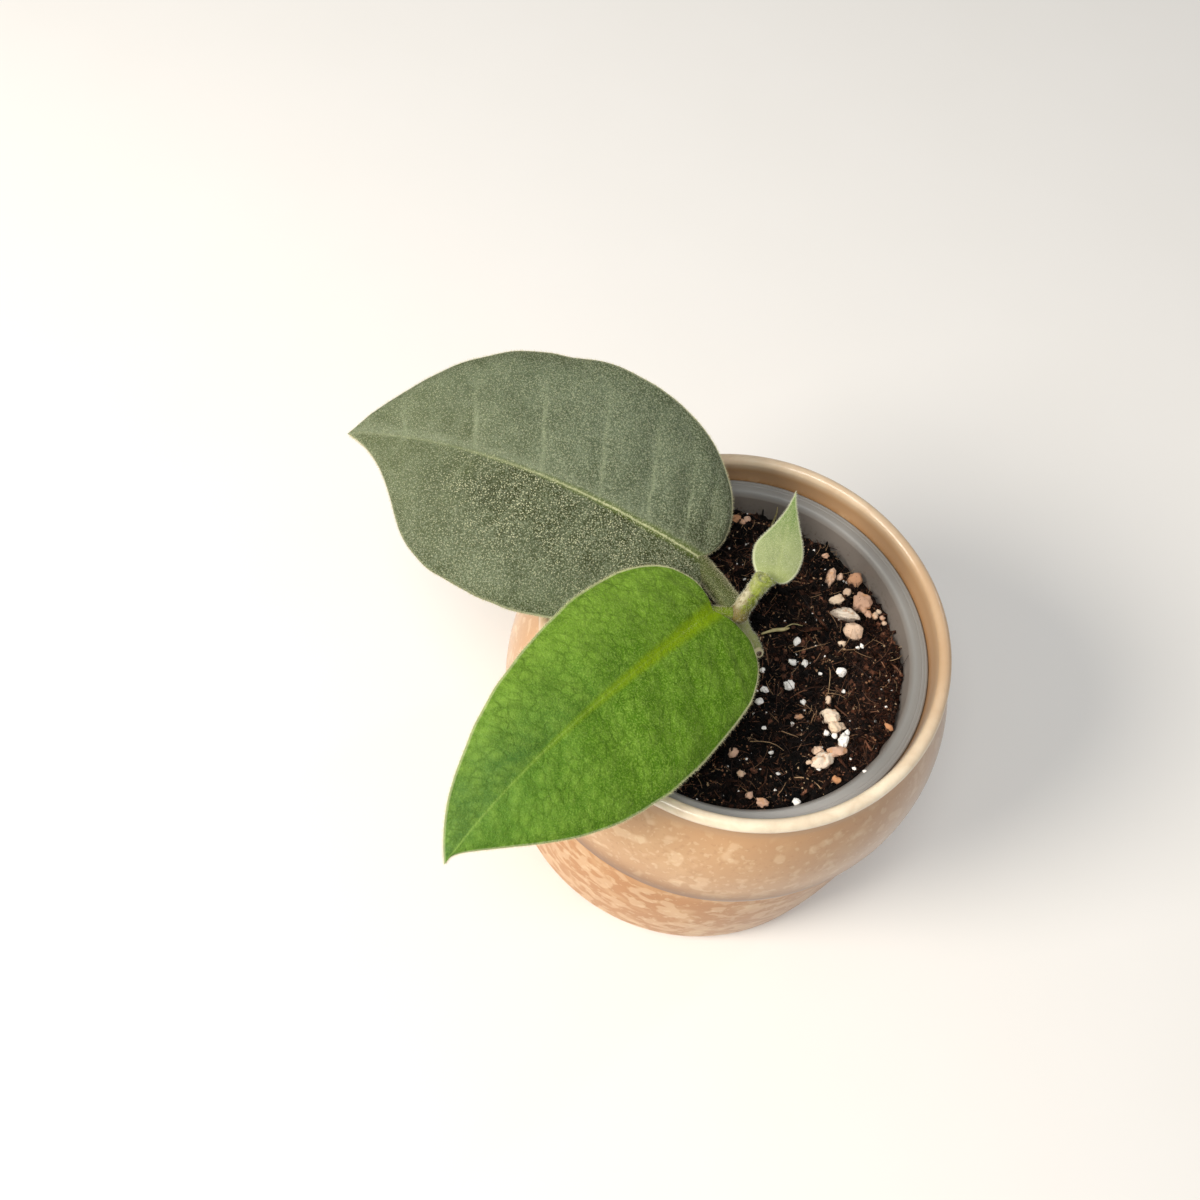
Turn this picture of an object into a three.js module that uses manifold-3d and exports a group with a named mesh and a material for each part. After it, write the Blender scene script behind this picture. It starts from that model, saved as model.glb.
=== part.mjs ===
// A potted hoya: a glazed cover pot, the plastic nursery pot that stands in it, the potting mix,
// the stem with its young shoot, and three leaves on their petioles.
// Millimetres, +Z up. The origin is the centre of the cover pot's flat foot.
import * as THREE from 'three';
import { mergeVertices } from 'three/addons/utils/BufferGeometryUtils.js';
import Module from 'manifold-3d';

const wasm = await Module();
wasm.setup();

const { degToRad, clamp, lerp, seededRandom } = THREE.MathUtils;
const touchGap = 0.3; // left between two pieces that touch
const facets = 60; // round each pot

// ---- driving dimensions -------------------------------------------------------------------

const coverPot = {
  footRadius: 44, // flat, unglazed
  heelHeight: 8, // the rounding between foot and wall
  lowerTier: { radius: 54.3, height: 35, curve: 0.0014 }, // widest radius, where, and how it bows
  upperTier: { radius: 56, height: 66.6, curve: 0.0121 },
  crease: { height: 55.6, radius: 52.8 }, // the groove between the tiers
  neck: { height: 93.2, radius: 47.9 }, // the groove under the rim
  rim: { height: 96, radius: 47.4, tube: 1.6 }, // rolled edge: centre line and section
  mouthRadius: 45.7,
  mouthBottom: 87, // where the inside widens into the belly
  wall: 3.8,
  floor: 6,
};

const nurseryPot = {
  top: 90,
  lipRadius: 45.4,
  lipWidth: 3.3,
  lipHeight: 2.6,
  baseRadius: 31.5,
  wall: 0.9,
  drainHoles: { count: 6, radius: 3.5, circle: 20 },
};

const mix = {
  level: 85,
  relief: 0.9, // how far the surface rolls up and down
  rings: 10,
  sectors: 48,
  crumbs: 32,
  perlite: 14,
};

// Clods and pumice lumps that stand out of the mix: place and size.
const clods = [
  { x: 17.3, y: 32.4, size: 8.5 }, { x: 15, y: 30, size: 6 }, { x: -4, y: 33, size: 7 },
  { x: 35, y: 3, size: 5 }, { x: 33, y: -16, size: 5.5 }, { x: -18, y: -22, size: 7 },
];
const pumice = [
  { x: 24.5, y: 15.9, size: 4.7 }, { x: 27.8, y: 11.6, size: 4.1 }, { x: 29.5, y: 20, size: 4.2 },
  { x: 23, y: 19.9, size: 2.4 }, { x: 26, y: 23.1, size: 2.2 }, { x: 21, y: 27, size: 3.1 },
  { x: 28.1, y: 27.6, size: 3.2 }, { x: 23.7, y: -12.2, size: 3.9 }, { x: 24.8, y: -14.7, size: 2.8 },
  { x: 22.3, y: -24.5, size: 5.1 }, { x: 25.4, y: -22, size: 4.4 }, { x: 26.8, y: -18.5, size: 2.8 },
  { x: -4.7, y: 36, size: 2.8 }, { x: 9.9, y: -37.5, size: 2.7 }, { x: 17.7, y: -35, size: 2.5 },
  { x: 2, y: -27.6, size: 2.4 }, { x: 25.9, y: -0.5, size: 2.5 }, { x: 13.5, y: -5.7, size: 2.6 },
  { x: 13.9, y: 5.9, size: 2.2 }, { x: 13.3, y: -0.2, size: 2.3 }, { x: -20, y: 20, size: 3 },
  { x: -30, y: -8, size: 3.4 }, { x: -12, y: -33, size: 3 }, { x: -26, y: 26, size: 2.6 },
];

// The stem leans back from where it leaves the mix, up to the node that the leaves grow from.
const stem = {
  buriedEnd: [8, -1, 62],
  soilLine: [4.7, 0, 84.5],
  node: [-3.5, 0.3, 102.5],
  shootTip: [-0.3, 4.1, 114],
  radius: 1.5,
  nodeRadius: 2.5,
  shootRadius: 2.1,
  collarRadius: 2.3, // the ring scar round the shoot's end
  scar: { from: [3.9, -0.3, 87.3], to: [4.6, -1.9, 88.6], radius: 1.4 }, // stub of a cut stalk
};

// A leaf is a blade on a midrib that starts at `base` and runs off along `heading`, rising at
// first and drooping to its tip. Angles are in degrees. Each side of the blade is two curves,
// shoulder and flank, that meet where it is widest.
const greyLeaf = {
  base: [-15, 11.2, 105.5],
  heading: 170, hook: 5, rise: 22, droop: 49, droopPower: 1.3, roll: -16,
  length: 90.5, fold: 8, camber: 5, wave: 0.7, waveLength: 31,
  thickness: 1.2, edge: 0.7, veinPairs: 7, veinRelief: 0.35,
  petiole: { radius: 2.6, ribRadius: 1.7, steps: 20 },
  left: {
    lobe: 14, shoulder: 10.3, widestAt: 39, width: 31,
    round: 22.5, flank: 40, tip: 24.7, tipWidth: 12.6,
  },
  right: {
    lobe: 12, shoulder: 8.2, widestAt: 29.8, width: 31.8,
    round: 25.8, flank: 28.5, tip: 24, tipWidth: 21.5,
  },
  rows: 28, columns: 6,
};
const greenLeaf = {
  base: [-9.6, -1.8, 105],
  heading: -125, hook: 6.5, rise: 17, droop: 46, droopPower: 2, roll: -15,
  length: 85.5, fold: 6, camber: 4, wave: 0.5, waveLength: 27,
  thickness: 1.1, edge: 0.7, veinPairs: 7, veinRelief: 0.4,
  petiole: { radius: 1.5, ribRadius: 1.3, steps: 20 },
  left: {
    lobe: 12, shoulder: 19.7, widestAt: 31.3, width: 24.6,
    round: 20.8, flank: 40.4, tip: 7.4, tipWidth: -1.5,
  },
  right: {
    lobe: 5.3, shoulder: 12.2, widestAt: 22.8, width: 20.6,
    round: 14.8, flank: 17.2, tip: 16.7, tipWidth: 15.1,
  },
  rows: 28, columns: 6,
};
const youngLeaf = {
  base: [2.8, 6.4, 110],
  heading: 88.5, hook: 0, rise: 38, droop: 10, droopPower: 1, roll: 0,
  length: 20.6, fold: 4, camber: 1.4, wave: 0, waveLength: 20,
  thickness: 0.8, edge: 0.6, veinPairs: 4, veinRelief: 0.1,
  petiole: { radius: 0.9, ribRadius: 0.7, steps: 12 },
  left: {
    lobe: 1.7, shoulder: 3.4, widestAt: 6.2, width: 6.2,
    round: 4.4, flank: 3.4, tip: 8.5, tipWidth: 1.4,
  },
  right: {
    lobe: 1.5, shoulder: 2.2, widestAt: 5.6, width: 5,
    round: 4.4, flank: 4, tip: 7, tipWidth: 1.6,
  },
  rows: 14, columns: 4,
};

const colours = {
  glaze: '#d8b48a', plastic: '#9ea1a6', mix: '#2b1d16', stem: '#a9ab74',
  greyLeaf: '#6f7c68', greenLeaf: '#5c9a2c', youngLeaf: '#b9cc9f',
};

// ---- helpers ------------------------------------------------------------------------------

const vector = ([x, y, z]) => new THREE.Vector3(x, y, z);

// A closed geometry as a manifold solid; triangles that merging has collapsed are dropped.
function solidOf(geometry) {
  geometry.deleteAttribute('normal');
  geometry.deleteAttribute('uv');
  const merged = mergeVertices(geometry, 1e-4);
  const kept = [];
  for (let i = 0; i < merged.index.count; i += 3) {
    const [a, b, c] = [0, 1, 2].map((k) => merged.index.getX(i + k));
    if (a !== b && b !== c && c !== a) kept.push(a, b, c);
  }
  return new wasm.Manifold(new wasm.Mesh({
    numProp: 3,
    vertProperties: new Float32Array(merged.attributes.position.array),
    triVerts: new Uint32Array(kept),
  }));
}

function meshOf(name, solid, colour, roughness) {
  const { vertProperties, triVerts } = solid.getMesh();
  const geometry = new THREE.BufferGeometry();
  geometry.setAttribute('position', new THREE.BufferAttribute(vertProperties, 3));
  geometry.setIndex(new THREE.BufferAttribute(triVerts, 1));
  geometry.computeVertexNormals();
  const material = new THREE.MeshStandardMaterial({ color: colour, roughness, metalness: 0 });
  const mesh = new THREE.Mesh(geometry, material);
  mesh.name = name;
  return mesh;
}

// A solid of revolution about Z from [radius, height] pairs that start and end on the axis.
function turned(profile) {
  const points = profile.map(([r, z]) => new THREE.Vector2(r, z));
  return solidOf(new THREE.LatheGeometry(points, facets).rotateX(Math.PI / 2));
}

// A round bar along a smooth path; the radius changes from point to point.
function taperedBar(points, radii, steps, sides) {
  const curve = new THREE.CatmullRomCurve3(points, false, 'centripetal');
  const frames = curve.computeFrenetFrames(steps);
  const positions = [];
  const index = [];
  for (let i = 0; i <= steps; i++) {
    const centre = curve.getPointAt(i / steps);
    const along = curve.getUtoTmapping(i / steps) * (radii.length - 1);
    const k = Math.min(Math.floor(along), radii.length - 2);
    const radius = lerp(radii[k], radii[k + 1], along - k);
    for (let j = 0; j < sides; j++) {
      const turn = (2 * Math.PI * j) / sides;
      const p = centre.clone()
        .addScaledVector(frames.normals[i], radius * Math.cos(turn))
        .addScaledVector(frames.binormals[i], radius * Math.sin(turn));
      positions.push(p.x, p.y, p.z);
      const [a, b] = [i * sides + j, i * sides + ((j + 1) % sides)];
      if (i < steps) index.push(a, b, b + sides, a, b + sides, a + sides);
    }
  }
  const last = steps * sides;
  for (let j = 1; j < sides - 1; j++) index.push(0, j + 1, j, last, last + j, last + j + 1);
  const bar = new THREE.BufferGeometry();
  bar.setAttribute('position', new THREE.Float32BufferAttribute(positions, 3));
  bar.setIndex(index);
  return solidOf(bar);
}

// A ball of few faces, squashed and turned, for a crumb, a clod or a lump of pumice.
function lump(x, y, z, size, squash, turn, detail) {
  const ball = new THREE.IcosahedronGeometry(size / 2, detail);
  ball.scale(1, 0.8, squash).rotateX(turn).rotateZ(3 * turn).translate(x, y, z);
  return solidOf(ball);
}

// ---- pots ---------------------------------------------------------------------------------

const tierRadius = (tier, z) => tier.radius - tier.curve * (z - tier.height) ** 2;
const tierAt = (z) => (z < coverPot.crease.height ? coverPot.lowerTier : coverPot.upperTier);
const outerRadius = (z) => tierRadius(tierAt(z), z);

function makeCoverPot() {
  const { footRadius, heelHeight, crease, neck, rim, mouthRadius, mouthBottom, wall, floor } = coverPot;
  const profile = [[0, 0]];
  const heel = outerRadius(heelHeight) - footRadius;
  for (let turn = 0; turn < 90; turn += 22.5) {
    const angle = degToRad(turn);
    profile.push([footRadius + heel * Math.sin(angle), heelHeight * (1 - Math.cos(angle))]);
  }
  for (const z of [heelHeight, 20, 35, 47, 53.8]) profile.push([outerRadius(z), z]);
  profile.push([crease.radius, crease.height]);
  for (const z of [57.4, 61, 66.6, 72, 78, 84, 88, 91.5]) profile.push([outerRadius(z), z]);
  profile.push([neck.radius, neck.height]);
  for (let turn = -45; turn <= 165; turn += 35) {
    const angle = degToRad(turn);
    profile.push([rim.radius + rim.tube * Math.cos(angle), rim.height + rim.tube * Math.sin(angle)]);
  }
  profile.push([mouthRadius, 94], [mouthRadius, mouthBottom]);
  for (const z of [80, 67, 50, 16]) profile.push([outerRadius(z) - wall, z]);
  profile.push([footRadius + 4, floor + 4], [footRadius, floor], [0, floor]);
  return turned(profile);
}

const nurseryFloor = coverPot.floor + touchGap;
const wallTop = nurseryPot.top - nurseryPot.lipHeight;
const lipInner = nurseryPot.lipRadius - nurseryPot.lipWidth;
// The nursery pot's inner radius grows evenly from its floor to its lip.
const nurseryInner = (z) => lerp(
  nurseryPot.baseRadius - nurseryPot.wall,
  lipInner - 0.4,
  (z - nurseryFloor) / (nurseryPot.top - nurseryFloor),
);

function makeNurseryPot() {
  const { top, lipRadius, baseRadius, wall, drainHoles } = nurseryPot;
  let pot = turned([
    [0, nurseryFloor],
    [baseRadius - 1, nurseryFloor],
    [nurseryInner(nurseryFloor + 1) + wall, nurseryFloor + 1],
    [nurseryInner(wallTop) + wall, wallTop],
    [lipRadius - 0.3, wallTop],
    [lipRadius, wallTop + 0.3],
    [lipRadius, top - 0.4],
    [lipRadius - 0.4, top],
    [lipRadius - 0.9, top],
    [lipRadius - 1.1, top - 0.35],
    [lipInner + 0.7, top - 0.35],
    [lipInner + 0.5, top - 0.1],
    [lipInner, top - 0.1],
    [nurseryInner(top - 0.7), top - 0.7],
    [nurseryInner(nurseryFloor + wall), nurseryFloor + wall],
    [0, nurseryFloor + wall],
  ]);
  for (let i = 0; i < drainHoles.count; i++) {
    const turn = (2 * Math.PI * i) / drainHoles.count;
    const drill = new THREE.CylinderGeometry(drainHoles.radius, drainHoles.radius, 6 * wall, 16);
    drill.rotateX(Math.PI / 2);
    drill.translate(drainHoles.circle * Math.cos(turn), drainHoles.circle * Math.sin(turn), nurseryFloor);
    pot = pot.subtract(solidOf(drill));
  }
  return pot;
}

// ---- potting mix --------------------------------------------------------------------------

// The rolling surface of the mix.
const mixLevel = (x, y) => mix.level + mix.relief * (
  0.6 * Math.sin(0.23 * x + 0.9) * Math.cos(0.19 * y - 0.4) + 0.5 * Math.sin(0.33 * x - 0.2 * y + 2));

function makePottingMix(stemHole) {
  const bottom = nurseryFloor + nurseryPot.wall + touchGap;
  const positions = [];
  const index = [];
  const { rings, sectors } = mix;
  positions.push(0, 0, mixLevel(0, 0));
  for (let ring = 1; ring <= rings + 1; ring++) {
    for (let i = 0; i < sectors; i++) {
      const turn = (2 * Math.PI * i) / sectors;
      const out = (nurseryInner(mix.level) - touchGap - 0.1) * Math.min(ring / rings, 1);
      const [x, y] = [out * Math.cos(turn), out * Math.sin(turn)];
      const taper = (nurseryInner(bottom) - touchGap) / out;
      if (ring <= rings) positions.push(x, y, mixLevel(x, y));
      else positions.push(x * taper, y * taper, bottom);
    }
  }
  const at = (ring, i) => (ring === 0 ? 0 : 1 + (ring - 1) * sectors + (i % sectors));
  for (let ring = 0; ring <= rings; ring++) {
    for (let i = 0; i < sectors; i++) {
      index.push(at(ring, i), at(ring + 1, i), at(ring + 1, i + 1));
      if (ring > 0) index.push(at(ring, i), at(ring + 1, i + 1), at(ring, i + 1));
    }
  }
  const foot = (i) => at(rings + 1, i);
  for (let i = 1; i < sectors - 1; i++) index.push(foot(0), foot(i + 1), foot(i));
  const block = new THREE.BufferGeometry();
  block.setAttribute('position', new THREE.Float32BufferAttribute(positions, 3));
  block.setIndex(index);
  let body = solidOf(block);

  const room = nurseryInner(mix.level) - touchGap - 0.3;
  const addLump = (x, y, size, squash, detail) => {
    const reach = Math.hypot(x, y);
    const inward = Math.min(1, (room - 0.55 * size) / reach);
    const [px, py] = [x * inward, y * inward];
    const turn = 6 * seededRandom();
    if (Math.hypot(px - stem.soilLine[0], py - stem.soilLine[1]) < stem.radius + size) return;
    body = body.add(lump(px, py, mixLevel(px, py) + 0.04 * size, size, squash, turn, detail));
  };
  seededRandom(11);
  for (const { x, y, size } of clods) addLump(x, y, size, 0.55, 1);
  for (const { x, y, size } of pumice) addLump(x, y, size, 0.8, size > 3.5 ? 1 : 0);
  for (let i = 0; i < mix.crumbs + mix.perlite; i++) {
    const turn = 2 * Math.PI * seededRandom();
    const out = 38 * Math.sqrt(seededRandom());
    const size = i < mix.crumbs ? lerp(1.8, 3.6, seededRandom()) : lerp(1.1, 1.9, seededRandom());
    addLump(out * Math.cos(turn), out * Math.sin(turn), size, 0.7, 0);
  }
  return body.subtract(stemHole);
}

// ---- stem ---------------------------------------------------------------------------------

function makeStem() {
  const { buriedEnd, soilLine, node, shootTip, radius, nodeRadius, shootRadius, collarRadius, scar } = stem;
  const [end, soil, fork, tip] = [buriedEnd, soilLine, node, shootTip].map(vector);
  const shootAt = (t) => fork.clone().lerp(tip, t);
  const main = taperedBar(
    [end, soil, soil.clone().lerp(fork, 0.6), fork],
    [radius, radius, 0.95 * radius, 1.2 * radius], 12, 12,
  );
  const knee = solidOf(new THREE.IcosahedronGeometry(nodeRadius, 1).scale(1, 1, 0.9).translate(...node));
  const shoot = taperedBar(
    [-0.08, 0.3, 0.62, 0.86, 0.93, 1].map(shootAt),
    [1.1, 1, 0.95, 1].map((share) => share * shootRadius).concat(collarRadius, 0.86 * collarRadius), 16, 14,
  );
  const bud = solidOf(new THREE.IcosahedronGeometry(1, 1).scale(1, 0.8, 0.9).translate(...tip));
  const stub = taperedBar([vector(scar.from), vector(scar.to)], [scar.radius, 0.9 * scar.radius], 2, 10);
  return main.add(knee).add(shoot).add(bud).add(stub);
}

// The hole that the stem's foot stands in, wider than the stem by the gap.
function makeStemHole() {
  const [end, soil] = [vector(stem.buriedEnd), vector(stem.soilLine)];
  const along = soil.clone().sub(end).normalize();
  const wide = stem.radius + touchGap;
  const bottom = end.clone().addScaledVector(along, -touchGap);
  const hole = taperedBar(
    [bottom, end, soil, soil.clone().addScaledVector(vector(stem.node).sub(soil).normalize(), 8)],
    [wide, wide, wide, wide], 10, 12,
  );
  const { from, to, radius } = stem.scar;
  return hole.add(taperedBar([vector(from), vector(to)], [radius + touchGap, radius + touchGap], 2, 10));
}

// ---- leaves -------------------------------------------------------------------------------

const midribSteps = 60;

// The direction of the midrib, the blade's sideways direction and its normal, at share u.
function leafFrame(leaf, u) {
  const heading = degToRad(leaf.heading + leaf.hook * u ** 3);
  const rise = degToRad(leaf.rise - leaf.droop * u ** leaf.droopPower);
  const roll = degToRad(leaf.roll);
  const along = new THREE.Vector3(
    Math.cos(rise) * Math.cos(heading), Math.cos(rise) * Math.sin(heading), Math.sin(rise));
  const level = new THREE.Vector3(-Math.sin(heading), Math.cos(heading), 0);
  const up = along.clone().cross(level);
  const side = level.clone().multiplyScalar(Math.cos(roll)).addScaledVector(up, Math.sin(roll));
  return { along, side, normal: along.clone().cross(side) };
}

// Points down the midrib, from the leaf's base to its tip.
function midrib(leaf) {
  const points = [vector(leaf.base)];
  for (let i = 0; i < midribSteps; i++) {
    const { along } = leafFrame(leaf, (i + 0.5) / midribSteps);
    points.push(points[i].clone().addScaledVector(along, leaf.length / midribSteps));
  }
  return points;
}

// A point of the blade, x along the midrib, y across it and h above it.
function bladePoint(leaf, ribPoints, x, y, h) {
  const u = clamp(x / leaf.length, 0, 1);
  const step = Math.min(Math.floor(u * midribSteps), midribSteps - 1);
  const { along, side, normal } = leafFrame(leaf, u);
  return ribPoints[step].clone().lerp(ribPoints[step + 1], u * midribSteps - step)
    .addScaledVector(along, Math.min(x, 0))
    .addScaledVector(side, y)
    .addScaledVector(normal, h);
}

// The margin of one side at share s, from the petiole to the tip.
function margin(leaf, half, s) {
  const { lobe, shoulder, widestAt, width, round, flank, tip, tipWidth } = half;
  const curve = s < 0.5
    ? new THREE.CubicBezierCurve(
      new THREE.Vector2(0, 0), new THREE.Vector2(-lobe, shoulder),
      new THREE.Vector2(widestAt - round, width), new THREE.Vector2(widestAt, width))
    : new THREE.CubicBezierCurve(
      new THREE.Vector2(widestAt, width), new THREE.Vector2(widestAt + flank, width),
      new THREE.Vector2(leaf.length - tip, tipWidth), new THREE.Vector2(leaf.length, 0));
  return curve.getPoint(s < 0.5 ? 2 * s : 2 * s - 1);
}

// How far the blade stands above its midrib: a fold along the midrib, margins that curl down,
// slow waves along them, and a swelling between the veins.
function bladeHeight(leaf, x, y, s, v) {
  const widest = Math.max(leaf.left.width, leaf.right.width);
  const out = (y / widest) ** 2;
  const fold = (Math.hypot(y, 2) - 2) * Math.tan(degToRad(leaf.fold));
  const wave = leaf.wave * Math.sin((2 * Math.PI * x) / leaf.waveLength + (y > 0 ? 0 : 1.3));
  const betweenVeins = 0.5 - 0.5 * Math.cos(2 * Math.PI * s * leaf.veinPairs);
  const swelling = leaf.veinRelief * betweenVeins * Math.sin(Math.PI * v);
  return fold - leaf.camber * out + wave * out + swelling;
}

function makeBlade(leaf) {
  const { rows, columns, thickness, edge } = leaf;
  const ribPoints = midrib(leaf);
  const positions = [];
  const index = [];
  const across = 2 * columns + 1; // from the right margin over the midrib to the left one
  for (const face of [0.5, -0.5]) {
    for (let row = 0; row <= rows; row++) {
      const s = row / rows;
      for (let k = -columns; k <= columns; k++) {
        const v = Math.abs(k) / columns;
        const point = margin(leaf, k > 0 ? leaf.left : leaf.right, s);
        const x = lerp(leaf.length * s ** 1.7, point.x, v);
        const y = Math.sign(k) * point.y * v;
        const h = bladeHeight(leaf, x, y, s, v) + face * lerp(thickness, edge, v ** 3);
        const p = bladePoint(leaf, ribPoints, x, y, h);
        positions.push(p.x, p.y, p.z);
      }
    }
  }
  const at = (layer, row, k) => (layer * (rows + 1) + row) * across + k;
  for (let row = 0; row < rows; row++) {
    for (let k = 0; k < across - 1; k++) {
      const [a, b, c, d] = [at(0, row, k), at(0, row + 1, k), at(0, row + 1, k + 1), at(0, row, k + 1)];
      const under = at(1, 0, 0);
      index.push(a, b, c, a, c, d, under + a, under + c, under + b, under + a, under + d, under + c);
    }
    for (const [k, turn] of [[0, false], [across - 1, true]]) {
      const [a, b] = [at(0, row, k), at(0, row + 1, k)];
      const [c, d] = [at(1, row + 1, k), at(1, row, k)];
      if (turn) index.push(a, b, c, a, c, d);
      else index.push(a, c, b, a, d, c);
    }
  }
  for (const row of [0, rows]) {
    for (let k = 0; k < across - 1; k++) {
      const [a, b, c, d] = [at(0, row, k), at(0, row, k + 1), at(1, row, k + 1), at(1, row, k)];
      if (row === 0) index.push(a, b, c, a, c, d);
      else index.push(a, c, b, a, d, c);
    }
  }
  const blade = new THREE.BufferGeometry();
  blade.setAttribute('position', new THREE.Float32BufferAttribute(positions, 3));
  blade.setIndex(index);
  return solidOf(blade);
}

// The petiole, from its seat on the stem, which goes on under the blade as the raised midrib.
function makePetiole(leaf, seat) {
  const ribPoints = midrib(leaf);
  const { radius, ribRadius, steps } = leaf.petiole;
  const sunk = (share) => bladePoint(leaf, ribPoints, share * leaf.length, 0, -0.4 * leaf.thickness);
  const start = sunk(0).addScaledVector(leafFrame(leaf, 0).normal, -0.4 * ribRadius);
  const path = [seat, seat.clone().lerp(start, 0.5), start, sunk(0.12), sunk(0.4), sunk(0.7), sunk(0.94)];
  const ribGirths = [1, 0.85, 0.7, 0.55, 0.4].map((share) => share * ribRadius);
  return taperedBar(path, [radius, 0.92 * radius, ...ribGirths], steps, 8);
}

// Where a petiole starts: off the surface of what it grows from, by the gap.
function seatOn(centre, radius, leaf) {
  const towards = vector(leaf.base).sub(centre).normalize();
  return centre.clone().addScaledVector(towards, radius + touchGap);
}

const makeLeaf = (leaf, seat) => makeBlade(leaf).add(makePetiole(leaf, seat));

// ---- the plant in its pots ----------------------------------------------------------------

const node = vector(stem.node);
const underCollar = node.clone().lerp(vector(stem.shootTip), 0.75);
const greySeat = seatOn(node, stem.nodeRadius, greyLeaf);
const greenSeat = seatOn(node, stem.nodeRadius, greenLeaf);
const youngSeat = seatOn(underCollar, stem.shootRadius, youngLeaf);

const plant = new THREE.Group();
plant.add(
  meshOf('cover_pot', makeCoverPot(), colours.glaze, 0.25),
  meshOf('nursery_pot', makeNurseryPot(), colours.plastic, 0.45),
  meshOf('potting_mix', makePottingMix(makeStemHole()), colours.mix, 0.95),
  meshOf('stem', makeStem(), colours.stem, 0.7),
  meshOf('grey_leaf', makeLeaf(greyLeaf, greySeat), colours.greyLeaf, 0.7),
  meshOf('green_leaf', makeLeaf(greenLeaf, greenSeat), colours.greenLeaf, 0.5),
  meshOf('young_leaf', makeLeaf(youngLeaf, youngSeat), colours.youngLeaf, 0.6),
);

export default plant;
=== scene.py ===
import bpy
import bmesh
import math
import random
from mathutils import Euler, Matrix, Vector, noise


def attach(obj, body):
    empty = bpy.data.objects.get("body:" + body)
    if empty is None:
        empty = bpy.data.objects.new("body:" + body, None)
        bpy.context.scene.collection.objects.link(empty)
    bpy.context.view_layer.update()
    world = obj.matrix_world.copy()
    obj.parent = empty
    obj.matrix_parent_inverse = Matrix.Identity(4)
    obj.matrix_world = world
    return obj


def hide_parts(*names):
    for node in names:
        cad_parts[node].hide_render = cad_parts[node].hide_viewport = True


# A potted hoya: leaves with raised veins and down on them, a downy stem, loose potting mix,
# a grey plastic nursery pot and a glazed cover pot. Sizes below are in millimetres.

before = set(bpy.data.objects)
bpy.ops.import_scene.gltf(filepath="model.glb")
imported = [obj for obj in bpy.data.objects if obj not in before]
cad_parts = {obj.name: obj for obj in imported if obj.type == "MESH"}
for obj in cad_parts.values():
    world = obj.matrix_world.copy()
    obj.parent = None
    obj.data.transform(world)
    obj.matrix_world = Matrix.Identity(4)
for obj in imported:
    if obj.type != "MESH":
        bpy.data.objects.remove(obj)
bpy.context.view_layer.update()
mm = 0.001


def hexColour(code):
    parts = [int(code[i:i + 2], 16) / 255 for i in (1, 3, 5)]
    linear = [c / 12.92 if c <= 0.04045 else ((c + 0.055) / 1.055) ** 2.4 for c in parts]
    return (*linear, 1.0)


def addNode(tree, kind, inputs=None, **settings):
    node = tree.nodes.new(kind)
    for key, value in settings.items():
        setattr(node, key, value)
    for key, value in (inputs or {}).items():
        if isinstance(value, str) and value.startswith("#"):
            value = hexColour(value)
        if isinstance(value, bpy.types.Node):
            value = value.outputs[0]
        if isinstance(value, bpy.types.NodeSocket):
            tree.links.new(value, node.inputs[key])
        else:
            node.inputs[key].default_value = value
    return node


def newMaterial(name):
    material = bpy.data.materials.new(name)
    material.use_nodes = True
    tree = material.node_tree
    tree.nodes.clear()
    return material, tree


def finishMaterial(tree, inputs, height=None, relief=0.0):
    # relief: how deep the height pattern is, in millimetres
    surface = addNode(tree, "ShaderNodeBsdfPrincipled", inputs)
    if height is not None:
        bump = addNode(tree, "ShaderNodeBump", {"Height": height, "Distance": relief * mm, "Strength": 1.0})
        tree.links.new(bump.outputs[0], surface.inputs["Normal"])
    addNode(tree, "ShaderNodeOutputMaterial", {"Surface": surface})


def patternPlace(tree):
    # coordinates in millimetres, so a texture's scale is one over a real size
    coords = addNode(tree, "ShaderNodeTexCoord")
    return addNode(tree, "ShaderNodeMapping", {"Vector": coords.outputs["Object"], "Scale": (1 / mm,) * 3})


def newTree(name, sockets):
    tree = bpy.data.node_groups.new(name, "GeometryNodeTree")
    tree.interface.new_socket("Geometry", in_out="INPUT", socket_type="NodeSocketGeometry")
    for label, kind in sockets:
        tree.interface.new_socket(label, in_out="INPUT", socket_type="NodeSocket" + kind)
    tree.interface.new_socket("Geometry", in_out="OUTPUT", socket_type="NodeSocketGeometry")
    return tree, addNode(tree, "NodeGroupInput"), addNode(tree, "NodeGroupOutput")


def endTree(tree, geometry, finish, result):
    # no instances are left, because the export drops them
    whole = addNode(tree, "GeometryNodeRealizeInstances", {"Geometry": geometry})
    done = addNode(tree, "GeometryNodeSetMaterial", {"Geometry": whole, "Material": finish})
    tree.links.new(done.outputs[0], result.inputs[0])


def randomLean(tree, given):
    # each instance turned any way about its foot, and leaning by up to the given angle
    leanLow = addNode(tree, "ShaderNodeMath", {0: given.outputs["Lean"], 1: -1.0}, operation="MULTIPLY")
    low = addNode(tree, "ShaderNodeCombineXYZ", {0: leanLow, 1: leanLow, 2: 0.0})
    high = addNode(tree, "ShaderNodeCombineXYZ", {
        0: given.outputs["Lean"], 1: given.outputs["Lean"], 2: 6.283})
    return addNode(tree, "FunctionNodeRandomValue", {
        0: low, 1: high, "Seed": given.outputs["Seed"]}, data_type="FLOAT_VECTOR")


def runTree(source, tree, values, name):
    # the tree's result as a plain mesh of its own; the source object goes
    modifier = source.modifiers.new(tree.name, "NODES")
    modifier.node_group = tree
    for item in tree.interface.items_tree:
        if item.in_out == "INPUT" and item.name in values:
            modifier[item.identifier] = values[item.name]
    source.update_tag()
    bpy.context.view_layer.update()
    graph = bpy.context.evaluated_depsgraph_get()
    mesh = bpy.data.meshes.new_from_object(source.evaluated_get(graph))
    mesh.name = name
    source.modifiers.remove(modifier)
    return addPiece(name, mesh)


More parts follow.
